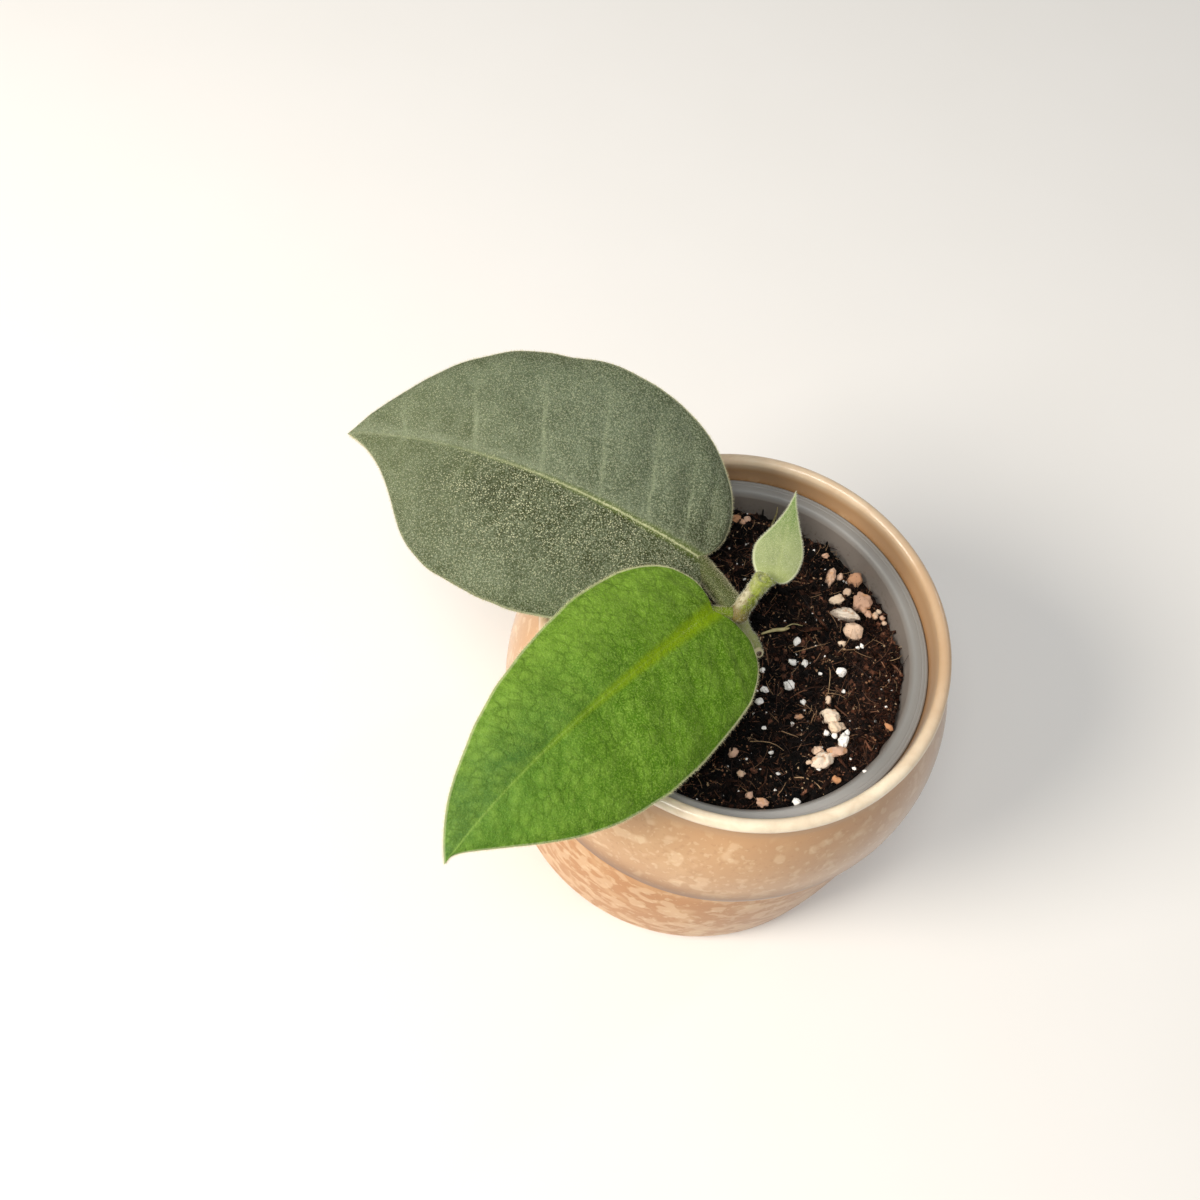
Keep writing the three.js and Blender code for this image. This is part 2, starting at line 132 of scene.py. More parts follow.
def addPiece(name, mesh):
    piece = bpy.data.objects.new(name, mesh)
    bpy.context.scene.collection.objects.link(piece)
    return piece


def meshFrom(name, points, faces, smooth=True):
    mesh = bpy.data.meshes.new(name)
    mesh.from_pydata([tuple(p) for p in points], [], faces)
    mesh.validate()
    if smooth:
        mesh.polygons.foreach_set("use_smooth", [True] * len(mesh.polygons))
    mesh.update()
    return mesh


def storeValues(mesh, name, values):
    layer = mesh.attributes.new(name, "FLOAT", "POINT")
    layer.data.foreach_set("value", values)


def dress(piece, slot, material=None, *nodes):
    if material:
        piece.data.materials.clear()
        piece.data.materials.append(material)
    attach(piece, "root")
    if nodes:
        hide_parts(*nodes)
    print(piece.name, len(piece.data.polygons), "faces")


def mix(a, b, share):
    return a + (b - a) * share


def clamp(value):
    return max(0.0, min(1.0, value))


def barMesh(name, path, girths, steps, sides):
    # a round bar on a smooth path through the points, closed at both ends, with small swellings
    points, faces = [], []
    spans = len(path) - 1
    previous = None
    for i in range(steps + 1):
        along = i / steps * spans
        k = min(int(along), spans - 1)
        p0, p1, p2, p3 = (path[max(0, min(spans, k + d))] for d in (-1, 0, 1, 2))
        t = along - k
        centre = 0.5 * (2 * p1 + (p2 - p0) * t + (2 * p0 - 5 * p1 + 4 * p2 - p3) * t * t
                        + (3 * p1 - p0 - 3 * p2 + p3) * t ** 3)
        tangent = (0.5 * ((p2 - p0) + 2 * (2 * p0 - 5 * p1 + 4 * p2 - p3) * t
                          + 3 * (3 * p1 - p0 - 3 * p2 + p3) * t * t)).normalized()
        across = previous - tangent * previous.dot(tangent) if previous else tangent.orthogonal()
        side = previous = across.normalized()
        lift = tangent.cross(side)
        girth = mix(girths[k], girths[k + 1], t)
        for j in range(sides):
            turn = 2 * math.pi * j / sides
            way = side * math.cos(turn) + lift * math.sin(turn)
            swell = 1 + 0.05 * noise.noise((centre + way * girth) * 0.9)
            points.append((centre + way * girth * swell) * mm)
    for i in range(steps):
        for j in range(sides):
            a, b = i * sides + j, i * sides + (j + 1) % sides
            faces.append((a, b, b + sides, a + sides))
    faces.append(tuple(reversed(range(sides))))
    faces.append(tuple(range(steps * sides, (steps + 1) * sides)))
    return meshFrom(name, points, faces)


def joinMeshes(name, meshes):
    pieces = [addPiece(name + str(i), mesh) for i, mesh in enumerate(meshes)]
    with bpy.context.temp_override(
            active_object=pieces[0], selected_objects=pieces, selected_editable_objects=pieces,
            object=pieces[0]):
        bpy.ops.object.join()
    pieces[0].name = pieces[0].data.name = name
    return pieces[0]


camera = {
    "lens": 36.0, "sensor": 36.0,  # about 53 degrees across the square frame
    "downward": 62.58,  # degrees below level
    "tilt": 11.4,  # degrees that the camera is turned about its own line of sight
    "distance": 282.3,  # to the centre of the rim, along the line of sight
    "rimHeight": 96.0,
    "rimPixel": (747.1, 629.3),  # where the rim's centre falls
    "frameSide": 1200,
}

light = {
    "world": ("#f5f6f8", 0.3),
    "floor": ("#f3f2ef", "#f6f5f3"), "floorHalf": 3.0,
    "aim": (0, 0, 0.08),
    "lamps": {  # place in metres, disc size, watts, colour
        "window": ((-0.75, -0.4, 0.75), 0.45, 10.6, "#fff6ea"),
        "overhead": ((-0.16, -0.34, 1.1), 0.45, 5.0, "#fffdf8"),
        "glint": ((0.62, 0.6, 0.6), 0.1, 0.45, "#ffffff"),
    },
}


def placeCamera():
    down, roll = math.radians(camera["downward"]), math.radians(camera["tilt"])
    forward = Vector((0, math.cos(down), -math.sin(down)))
    level, raised = Vector((1, 0, 0)), Vector((0, math.sin(down), math.cos(down)))
    right = level * math.cos(roll) + raised * math.sin(roll)
    up = raised * math.cos(roll) - level * math.sin(roll)
    focal = camera["lens"] / camera["sensor"] * camera["frameSide"]
    shift = [(p - camera["frameSide"] / 2) / focal * camera["distance"] for p in camera["rimPixel"]]
    rim = Vector((0, 0, camera["rimHeight"]))
    place = (rim - right * shift[0] + up * shift[1] - forward * camera["distance"]) * mm
    data = bpy.data.cameras.new("photoCamera")
    data.lens, data.sensor_width = camera["lens"], camera["sensor"]
    data.clip_start, data.clip_end = 0.01, 20  # metres
    viewer = bpy.data.objects.new("photoCamera", data)
    viewer.matrix_world = Matrix.Translation(place) @ Matrix((right, up, -forward)).transposed().to_4x4()
    bpy.context.scene.collection.objects.link(viewer)
    bpy.context.scene.camera = viewer


def placeLights():
    world = bpy.data.worlds.new("studioAir")
    bpy.context.scene.world = world
    world.use_nodes = True
    air = world.node_tree.nodes["Background"]
    air.inputs["Color"].default_value = hexColour(light["world"][0])
    air.inputs["Strength"].default_value = light["world"][1]
    for name, (place, size, power, colour) in light["lamps"].items():
        data = bpy.data.lights.new(name, "AREA")
        data.shape, data.size, data.energy = "DISK", size, power
        data.color = hexColour(colour)[:3]
        lamp = bpy.data.objects.new(name, data)
        lamp.location = place
        lamp.rotation_euler = (Vector(light["aim"]) - Vector(place)).to_track_quat("-Z", "Y").to_euler()
        bpy.context.scene.collection.objects.link(lamp)
    bpy.context.scene.view_settings.view_transform = "Standard"


def layFloor():
    half = light["floorHalf"]
    corners = [(-half, -half, 0), (half, -half, 0), (half, half, 0), (-half, half, 0)]
    floor = addPiece("paleFloor", meshFrom("paleFloor", corners, [(0, 1, 2, 3)], smooth=False))
    material, tree = newMaterial("paleStudioPaper")
    grain = addNode(tree, "ShaderNodeTexNoise", {
        "Vector": patternPlace(tree), "Scale": 1 / 50, "Detail": 4.0})
    tone = addNode(tree, "ShaderNodeMix", {
        0: grain, 6: light["floor"][0], 7: light["floor"][1]}, data_type="RGBA").outputs[2]
    finishMaterial(tree, {"Base Color": tone, "Roughness": 0.9})
    floor.data.materials.append(material)


placeCamera()
placeLights()
layFloor()
print("camera, lights and floor placed")

coverPot = {
    "footRadius": 44, "heelHeight": 8,
    "lower": (54.3, 35, 0.0014),  # widest radius, its height, how the wall bows
    "upper": (56, 66.6, 0.0121),
    "creaseHeight": 55.6, "creaseRadius": 52.8, "creaseHalf": 1.8,
    "neckHeight": 93.2, "neckRadius": 47.9,
    "rimHeight": 96, "rimRadius": 47.4, "rimTube": 1.6,
    "mouthRadius": 45.7, "mouthBottom": 87, "wall": 3.8, "floor": 6,
    "turns": 200,
}

nurseryPot = {
    "floor": 6.3, "top": 90, "lipRadius": 45.6, "lipWidth": 3.6, "lipHeight": 2.6,
    "baseRadius": 31.5, "wall": 0.9, "holes": 6, "holeRadius": 3.5, "holeCircle": 20,
    "turns": 180,
    # the lip's paler second tone, used towards the front, is painted light
    "wallTones": ("#736c66", "#857e78"), "lipTones": ("#888886", "#a9a8a6"), "soiling": "#5a4940",
    "lipFrom": (88.0, 89.9), "frontLitFrom": (-22.0, -42.0), "soilFrom": (88.5, 84.0),
}


def turningTree():
    # a grid whose columns go round and whose rows follow the profile's points
    tree, given, result = newTree("turnedOnAWheel", [("Turns", "Int"), ("Glaze", "Material")])
    count = addNode(tree, "GeometryNodeAttributeDomainSize", {"Geometry": given.outputs["Geometry"]})
    columns = addNode(tree, "ShaderNodeMath", {0: given.outputs["Turns"], 1: 1.0}, operation="ADD")
    grid = addNode(tree, "GeometryNodeMeshGrid", {
        "Size X": 1.0, "Size Y": 1.0, "Vertices X": columns, "Vertices Y": count.outputs["Point Count"]})
    place = addNode(tree, "ShaderNodeSeparateXYZ", {0: addNode(tree, "GeometryNodeInputPosition")})
    rows = addNode(tree, "ShaderNodeMath", {0: count.outputs["Point Count"], 1: 1.0}, operation="SUBTRACT")
    share = addNode(tree, "ShaderNodeMath", {0: place.outputs["Y"], 1: 0.5}, operation="ADD")
    row = addNode(tree, "ShaderNodeMath", {0: share, 1: rows}, operation="MULTIPLY")
    sample = addNode(tree, "GeometryNodeSampleIndex", {
        "Geometry": given.outputs["Geometry"],
        "Value": addNode(tree, "GeometryNodeInputPosition"),
        "Index": addNode(tree, "ShaderNodeMath", {0: row}, operation="ROUND"),
    }, data_type="FLOAT_VECTOR")
    profile = addNode(tree, "ShaderNodeSeparateXYZ", {0: sample})
    around = addNode(tree, "ShaderNodeMath", {0: place.outputs["X"], 1: 2 * math.pi}, operation="MULTIPLY")
    moved = []
    for turn in ("COSINE", "SINE"):
        part = addNode(tree, "ShaderNodeMath", {0: around}, operation=turn)
        moved.append(addNode(tree, "ShaderNodeMath", {
            0: part, 1: profile.outputs["X"]}, operation="MULTIPLY"))
    where = addNode(tree, "ShaderNodeCombineXYZ", {0: moved[0], 1: moved[1], 2: profile.outputs["Z"]})
    shaped = addNode(tree, "GeometryNodeSetPosition", {"Geometry": grid, "Position": where})
    closed = addNode(tree, "GeometryNodeMergeByDistance", {"Geometry": shaped, "Distance": 1e-6})
    smooth = addNode(tree, "GeometryNodeSetShadeSmooth", {"Geometry": closed})
    endTree(tree, smooth, given.outputs["Glaze"], result)
    return tree


def tierRadius(tier, z):
    widest, height, bow = tier
    return widest - bow * (z - height) ** 2


def coverOuter(z):
    # the wall outside: two tiers that meet in a sharp crease
    p = coverPot
    tier = p["upper"] if z > p["creaseHeight"] else p["lower"]
    reach = abs(z - p["creaseHeight"]) / p["creaseHalf"]
    return mix(p["creaseRadius"], tierRadius(tier, z), min(1, reach) ** 0.6)


def coverProfile():
    p = coverPot
    heel = coverOuter(p["heelHeight"]) - p["footRadius"]
    points = [(0, 0), (p["footRadius"] - 6, 0), (p["footRadius"], 0)]
    for i in range(1, 13):
        turn = math.radians(90 * i / 12)
        points.append((p["footRadius"] + heel * math.sin(turn), p["heelHeight"] * (1 - math.cos(turn))))
    z = p["heelHeight"] + 1.5
    while z < p["neckHeight"] - 1.2:
        points.append((coverOuter(z), z))
        z += 0.5 if abs(z - p["creaseHeight"]) < 3.5 else 1.5
    points.append((p["neckRadius"], p["neckHeight"]))
    for i in range(-4, 15):
        turn = math.radians(12 * i)
        out, up = p["rimTube"] * math.cos(turn), p["rimTube"] * math.sin(turn)
        points.append((p["rimRadius"] + out, p["rimHeight"] + up))
    points += [(p["mouthRadius"], 94), (p["mouthRadius"], p["mouthBottom"])]
    points += [(coverOuter(z) - p["wall"], z) for z in (82, 76, 70, 66, 60, 50, 35, 16)]
    points += [(p["footRadius"] + 4, p["floor"] + 4), (p["footRadius"], p["floor"]), (0, p["floor"])]
    return points


def nurseryInner(z):
    p = nurseryPot
    foot, lip = p["baseRadius"] - p["wall"], p["lipRadius"] - p["lipWidth"] - 0.4
    return mix(foot, lip, (z - p["floor"]) / (p["top"] - p["floor"]))


def nurseryProfile():
    p = nurseryPot
    floor, top, lip, wall = p["floor"], p["top"], p["lipRadius"], p["wall"]
    under = top - p["lipHeight"]
    inner = lip - p["lipWidth"]
    return [
        (0, floor), (p["baseRadius"] - 1, floor), (nurseryInner(floor + 1) + wall, floor + 1),
        (nurseryInner(under) + wall, under), (lip - 0.3, under), (lip, under + 0.3), (lip, top - 0.4),
        (lip - 0.3, top - 0.05), (lip - 0.7, top), (lip - 0.82, top - 0.09), (lip - 0.94, top - 0.02),
        (lip - 1.5, top - 0.05), (lip - 1.62, top - 0.13), (lip - 1.74, top - 0.07),
        (inner + 0.9, top - 0.16), (inner + 0.4, top - 0.3), (inner, top - 0.7),
        (nurseryInner(top - 1.6), top - 1.6),
        (nurseryInner(floor + wall), floor + wall), (0, floor + wall),
    ]


glaze = {
    "tiers": (("#bb8b5c", "#d3a87b"), ("#b57c48", "#c8905a")),  # ground of each, deep and pale; the lower tier's darker ground is painted shade
    "mottles": (  # size in mm, how rare above and below the crease, softness, strength, tone
        (1.2, 0.6, 0.62, 0.14, 0.22, "#a97647"),
        (9.0, 0.57, 0.54, 0.24, 0.5, "#dfb88a"),
        (5.0, 0.6, 0.51, 0.09, 0.46, "#ebcba2"),
        (2.4, 0.64, 0.6, 0.07, 0.32, "#ecd2aa"),
        (1.2, 0.66, 0.68, 0.05, 0.26, "#ecd2aa"),
    ),
    "proud": 2,  # which of them stands a hair proud
    "bands": (  # heights from the crease where it starts, is strongest and ends, strength, tone; painted shade above the crease, painted light below
        (-1.0, 3.0, 17.0, 0.95, "#7a4c26"),
        (-8.0, -2.6, -0.6, 0.35, "#cfa06e"),
    ),
    # the crest's cream is partly a painted highlight; the brown tone is painted shade on one side and the
    # milky tone a painted highlight over the crease
    "mouth": "#b38c63", "crest": "#f8ead0", "shadedSide": "#7c5330", "creaseHighlight": "#ece2d6",
    "clay": ("#c9b499", "#ded0bb"),
    "reach": {  # which way it is measured, where it starts and is full, least, most, how it fades
        "lower": ("height", 59.0, 53.0, 0.0, 1.0, "SMOOTHSTEP"),
        "body": ("height", 93.0, 88.0, 0.0, 1.0, "SMOOTHSTEP"),
        "mouth": ("height", 89.0, 94.0, 0.0, 1.0, "SMOOTHSTEP"),
        "crest": ("height", 93.8, 96.8, 0.0, 1.0, "SMOOTHSTEP"),
        "foot": ("height", 0.9, 0.5, 0.0, 1.0, "LINEAR"),
        "nearCreaseBand": ("offCrease", 7.0, 3.0, 0.0, 1.0, "SMOOTHSTEP"),
        "aboveStep": ("offCrease", -1.0, 1.0, 0.0, 1.0, "LINEAR"),
        "drawnThin": ("offCrease", 20.0, 9.0, 0.0, 1.0, "SMOOTHSTEP"),
        # front and behind weight the crest's painted highlight
        "front": ("depth", 2.0, -36.0, 0.22, 0.95, "SMOOTHSTEP"),
        "behind": ("depth", 22.0, 44.0, 0.0, 0.3, "LINEAR"),
        "creaseHighlightFront": ("depth", 8.0, -34.0, 0.0, 1.0, "SMOOTHSTEP"),
        "creaseHighlightSide": ("sideways", 2.0, 20.0, 0.0, 1.1, "LINEAR"),
        "shadedSide": ("sideways", 2.0, 44.0, 0.0, 0.5, "LINEAR"),
    },
}


def glazedStoneware():
    # slip-cast stoneware under a clear gloss glaze: tan ground with soft cream mottles, paler
    # where the glaze breaks over an edge, bare clay under the foot; painted highlights on the front of
    # the rim and over the crease, painted shade above the crease, on the lower tier and on one side
    material, tree = newMaterial("glazedStoneware")
    place = patternPlace(tree)
    where = addNode(tree, "ShaderNodeSeparateXYZ", {0: place})
    ways = {"sideways": where.outputs["X"], "depth": where.outputs["Y"], "height": where.outputs["Z"]}
    ways["offCrease"] = addNode(tree, "ShaderNodeMath", {
        0: ways["height"], 1: coverPot["creaseHeight"]}, operation="SUBTRACT")
    part = {}  # how much of each part of the pot a point belongs to
    for name, (way, start, full, least, most, fade) in glaze["reach"].items():
        part[name] = addNode(tree, "ShaderNodeMapRange", {
            "Value": ways[way], "From Min": start, "From Max": full, "To Min": least, "To Max": most,
        }, interpolation_type=fade)
    patches = addNode(tree, "ShaderNodeTexNoise", {"Vector": place, "Scale": 1 / 20, "Detail": 3.0})
    upper, lower = [addNode(tree, "ShaderNodeMix", {
        0: patches, 6: deep, 7: pale}, data_type="RGBA").outputs[2] for deep, pale in glaze["tiers"]]
    # painted shade: the lower tier gets the darker ground
    layers, relief = [(part["lower"], lower)], None
    for step, (size, above, below, softness, strength, tone) in enumerate(glaze["mottles"]):
        # each size lies elsewhere in the noise, so that the spots do not repeat
        shifted = addNode(tree, "ShaderNodeMapping", {
            "Vector": place, "Location": (17 * step, 31 * step, 5 * step)})
        cloud = addNode(tree, "ShaderNodeTexNoise", {
            "Vector": shifted, "Scale": 1 / size, "Detail": 1.5, "Roughness": 0.4, "Distortion": 0.2})
        rare = addNode(tree, "ShaderNodeMapRange", {
            "Value": part["lower"], "To Min": above, "To Max": below})
        drift = addNode(tree, "ShaderNodeMath", {0: patches, 1: -0.14, 2: rare}, operation="MULTIPLY_ADD")
        level = addNode(tree, "ShaderNodeMath", {0: drift, 1: 0.05}, operation="ADD")
        over = addNode(tree, "ShaderNodeMath", {0: cloud, 1: level}, operation="SUBTRACT")
        spot = addNode(tree, "ShaderNodeMapRange", {
            "Value": over, "From Max": softness, "To Max": strength}, interpolation_type="SMOOTHSTEP")
        share = addNode(tree, "ShaderNodeMath", {0: spot, 1: part["body"]}, operation="MULTIPLY")
        layers.append((share, tone))
        if step == glaze["proud"]:
            relief = share
    # the rim: caramel in the mouth, clouded with cream over its crest, partly where the glaze breaks and
    # partly a painted highlight, strongest in front
    clouding = addNode(tree, "ShaderNodeTexNoise", {
        "Vector": place, "Scale": 1 / 6, "Detail": 4.0, "Roughness": 0.6, "Distortion": 0.6})
    clouded = addNode(tree, "ShaderNodeMapRange", {
        "Value": clouding, "From Min": 0.3, "From Max": 0.7, "To Min": 0.7, "To Max": 1.1})
    # painted highlight: the cream crest is strongest in front and faint at the back
    around = addNode(tree, "ShaderNodeMath", {0: part["front"], 1: part["behind"]}, operation="ADD")
    cloudedCrest = addNode(tree, "ShaderNodeMath", {0: part["crest"], 1: clouded}, operation="MULTIPLY")
    crestBreakAndHighlight = addNode(tree, "ShaderNodeMath", {0: cloudedCrest, 1: around}, operation="MULTIPLY")
    layers += [(part["mouth"], glaze["mouth"]), (crestBreakAndHighlight, glaze["crest"])]
    # painted shade: a dark band above the crease under the upper tier's overhang, and a paler band of
    # painted light on the step below it
    for low, top, high, most, tone in glaze["bands"]:
        rise = addNode(tree, "ShaderNodeMapRange", {
            "Value": ways["offCrease"], "From Min": low, "From Max": top}, interpolation_type="SMOOTHSTEP")
        fall = addNode(tree, "ShaderNodeMapRange", {
            "Value": ways["offCrease"], "From Min": high, "From Max": top, "To Max": most,
        }, interpolation_type="SMOOTHSTEP")
        share = addNode(tree, "ShaderNodeMath", {0: rise, 1: fall}, operation="MULTIPLY")
        layers.append((share, tone))
    # painted shade: darker and browner on the side away from the key lamp
    shadedSideShare = addNode(tree, "ShaderNodeMath", {0: part["shadedSide"], 1: part["body"]}, operation="MULTIPLY")
    # painted highlight: a milky streak over the crease, in front on one side of the pot
    creaseHighlight = addNode(tree, "ShaderNodeMath", {
        0: part["creaseHighlightSide"], 1: part["creaseHighlightFront"]}, operation="MULTIPLY")
    streaks = addNode(tree, "ShaderNodeMath", {0: creaseHighlight, 1: clouding}, operation="MULTIPLY")
    bandAboveStep = addNode(tree, "ShaderNodeMath", {0: part["nearCreaseBand"], 1: part["aboveStep"]}, operation="MULTIPLY")
    creaseHighlightShare = addNode(tree, "ShaderNodeMath", {0: bandAboveStep, 1: streaks}, operation="MULTIPLY")
    # the bare foot, with a grain of 0.4 mm
    clayGrain = addNode(tree, "ShaderNodeTexNoise", {"Vector": place, "Scale": 1 / 0.4, "Detail": 3.0})
    clay = addNode(tree, "ShaderNodeMix", {
        0: clayGrain, 6: glaze["clay"][0], 7: glaze["clay"][1]}, data_type="RGBA").outputs[2]
    layers += [(shadedSideShare, glaze["shadedSide"]), (creaseHighlightShare, glaze["creaseHighlight"]), (part["foot"], clay)]
    colour = upper
    for share, tone in layers:
        colour = addNode(tree, "ShaderNodeMix", {0: share, 6: colour, 7: tone}, data_type="RGBA").outputs[2]
    rough = addNode(tree, "ShaderNodeMapRange", {"Value": part["foot"], "To Min": 0.3, "To Max": 0.85})
    # the glaze lies thinner and more satin below the crease and in its bottom
    satin = addNode(tree, "ShaderNodeMath", {0: part["lower"], 1: part["drawnThin"]}, operation="MAXIMUM")
    coat = addNode(tree, "ShaderNodeMapRange", {"Value": satin, "To Min": 0.4, "To Max": 0.04})
    shine = addNode(tree, "ShaderNodeMapRange", {"Value": satin, "To Min": 0.45, "To Max": 0.1})
    # the orange-peel of a glaze, 4 mm across, and the mottles standing a hair proud
    peel = addNode(tree, "ShaderNodeTexNoise", {"Vector": place, "Scale": 1 / 4, "Detail": 1.0})
    raised = addNode(tree, "ShaderNodeMath", {0: relief, 1: 0.3, 2: peel}, operation="MULTIPLY_ADD")
    finishMaterial(tree, {
        "Base Color": colour, "Roughness": rough, "Specular IOR Level": shine, "Coat Weight": coat,
        "Coat Roughness": 0.1, "Subsurface Weight": 0.04, "Subsurface Radius": (0.002, 0.0012, 0.0008),
    }, raised, 0.06)
    return material


def mouldedPolypropylene():
    # injection-moulded grey polypropylene, a little see-through: satin, bluish on the lip, paler
    # in front as painted light, warmer down the wall with a film of dust where the mix has rubbed it
    p = nurseryPot
    material, tree = newMaterial("mouldedPolypropylene")
    place = patternPlace(tree)
    where = addNode(tree, "ShaderNodeSeparateXYZ", {0: place})
    height = where.outputs["Z"]
    cloud = addNode(tree, "ShaderNodeTexNoise", {"Vector": place, "Scale": 1 / 14, "Detail": 3.0})
    wall = addNode(tree, "ShaderNodeMix", {
        0: cloud, 6: p["wallTones"][0], 7: p["wallTones"][1]}, data_type="RGBA").outputs[2]
    onLip = addNode(tree, "ShaderNodeMapRange", {
        "Value": height, "From Min": p["lipFrom"][0], "From Max": p["lipFrom"][1],
    }, interpolation_type="SMOOTHSTEP")
    # painted light: the lip paler towards the front
    frontLitShare = addNode(tree, "ShaderNodeMapRange", {
        "Value": where.outputs["Y"], "From Min": p["frontLitFrom"][0], "From Max": p["frontLitFrom"][1],
    }, interpolation_type="SMOOTHSTEP")
    lip = addNode(tree, "ShaderNodeMix", {
        0: frontLitShare, 6: p["lipTones"][0], 7: p["lipTones"][1]}, data_type="RGBA").outputs[2]
    specks = addNode(tree, "ShaderNodeTexNoise", {"Vector": place, "Scale": 1 / 0.9, "Detail": 4.0})
    lowDown = addNode(tree, "ShaderNodeMapRange", {
        "Value": height, "From Min": p["soilFrom"][0], "From Max": p["soilFrom"][1]})
    dusty = addNode(tree, "ShaderNodeMapRange", {
        "Value": specks, "From Min": 0.56, "From Max": 0.72, "To Max": 0.5})
    dust = addNode(tree, "ShaderNodeMath", {0: lowDown, 1: dusty}, operation="MULTIPLY")
    colour = wall
    for share, tone in ((onLip, lip), (dust, p["soiling"])):
        colour = addNode(tree, "ShaderNodeMix", {0: share, 6: colour, 7: tone}, data_type="RGBA").outputs[2]
    rough = addNode(tree, "ShaderNodeMapRange", {"Value": cloud, "To Min": 0.34, "To Max": 0.48})
    finishMaterial(tree, {
        "Base Color": colour, "Roughness": rough, "IOR": 1.49,
        "Subsurface Weight": 0.25, "Subsurface Radius": (0.003, 0.003, 0.003),
    }, specks, 0.012)
    return material


def profileObject(name, profile):
    mesh = bpy.data.meshes.new(name)
    mesh.from_pydata([(r * mm, 0, z * mm) for r, z in profile], [], [])
    return addPiece(name, mesh)


def drillHoles(piece):
    # the drain holes go through the nursery pot's floor
    p = nurseryPot
    drill = bmesh.new()
    for i in range(p["holes"]):
        turn = 2 * math.pi * i / p["holes"]
        x, y = math.cos(turn) * p["holeCircle"], math.sin(turn) * p["holeCircle"]
        place = Vector((x, y, p["floor"])) * mm
        bmesh.ops.create_cone(
            drill, cap_ends=True, segments=32, radius1=p["holeRadius"] * mm, radius2=p["holeRadius"] * mm,
            depth=6 * p["wall"] * mm, matrix=Matrix.Translation(place))
    cutterMesh = bpy.data.meshes.new("drainDrill")
    drill.to_mesh(cutterMesh)
    drill.free()
    cutter = addPiece("drainDrill", cutterMesh)
    modifier = piece.modifiers.new("drain", "BOOLEAN")
    modifier.object, modifier.operation, modifier.solver = cutter, "DIFFERENCE", "EXACT"
    graph = bpy.context.evaluated_depsgraph_get()
    cut = bpy.data.meshes.new_from_object(piece.evaluated_get(graph))
    piece.modifiers.remove(modifier)
    piece.data = cut
    bpy.data.objects.remove(cutter)


def roundedCorners(points):
    # a small round at every corner, 0.12 mm or less; long straight walls stay one step
    result = [Vector(points[0])]
    for before, corner, after in zip(points, points[1:], points[2:]):
        before, corner, after = Vector(before), Vector(corner), Vector(after)
        cut = min(0.12, (before - corner).length / 3, (after - corner).length / 3)
        start = corner + (before - corner).normalized() * cut
        end = corner + (after - corner).normalized() * cut
        result += [start, (start + end + 2 * corner) / 4, end]
    return [*result, Vector(points[-1])]


def makePots():
    tree = turningTree()
    for name, node, profile, turns, material, slot in (
            ("glazedCoverPot", "cover_pot", coverProfile(), coverPot["turns"],
             glazedStoneware(), "glazed_stoneware"),
            ("nurseryPot", "nursery_pot", nurseryProfile(), nurseryPot["turns"],
             mouldedPolypropylene(), "grey_plastic")):
        source = profileObject(name + "Profile", roundedCorners(profile))
        pot = runTree(source, tree, {"Turns": turns, "Glaze": material}, name)
        bpy.data.objects.remove(source)
        if node == "nursery_pot":
            drillHoles(pot)
        dress(pot, slot, None, node)


makePots()
print("pots turned")

mixBed = {
    "level": 85, "relief": 0.9, "radius": 40.9, "footRadius": 30.3, "bottom": 7.5,
    "heap": 3.2, "heapTurn": 10,  # how far it rises at the wall in front, and sinks behind
    "rings": 120, "sectors": 280, "rough": 1.25,  # how far the fine clods stand up
    "ragged": 1.9,  # how unevenly the mix meets the pot's wall
    "crumbs": 1.9, "fuzz": 1.3, "strands": 0.19, "slivers": 0.1,  # of each, to the square millimetre
    "perlite": 0.07, "dust": 1.0, "seed": 7,
}

clods = [  # x, y, size
    (17.5, 32, 9.5), (14, 29.5, 6), (-4, 33, 7), (35, 3, 5), (33, -16, 6.5), (-18, -22, 7), (30, 23, 5.5),
    (37, -9, 6), (6, -30, 5), (20, 3, 5), (-2, 22, 7), (9, 20, 6), (29, -21, 5), (12, -20, 5), (36, -15, 6),
    (16, 15, 6), (24, 1, 4.5), (31, 9, 5), (9, 28, 6), (2, 16, 5), (18, -26, 5), (34, -21, 5), (10, 6, 4),
]

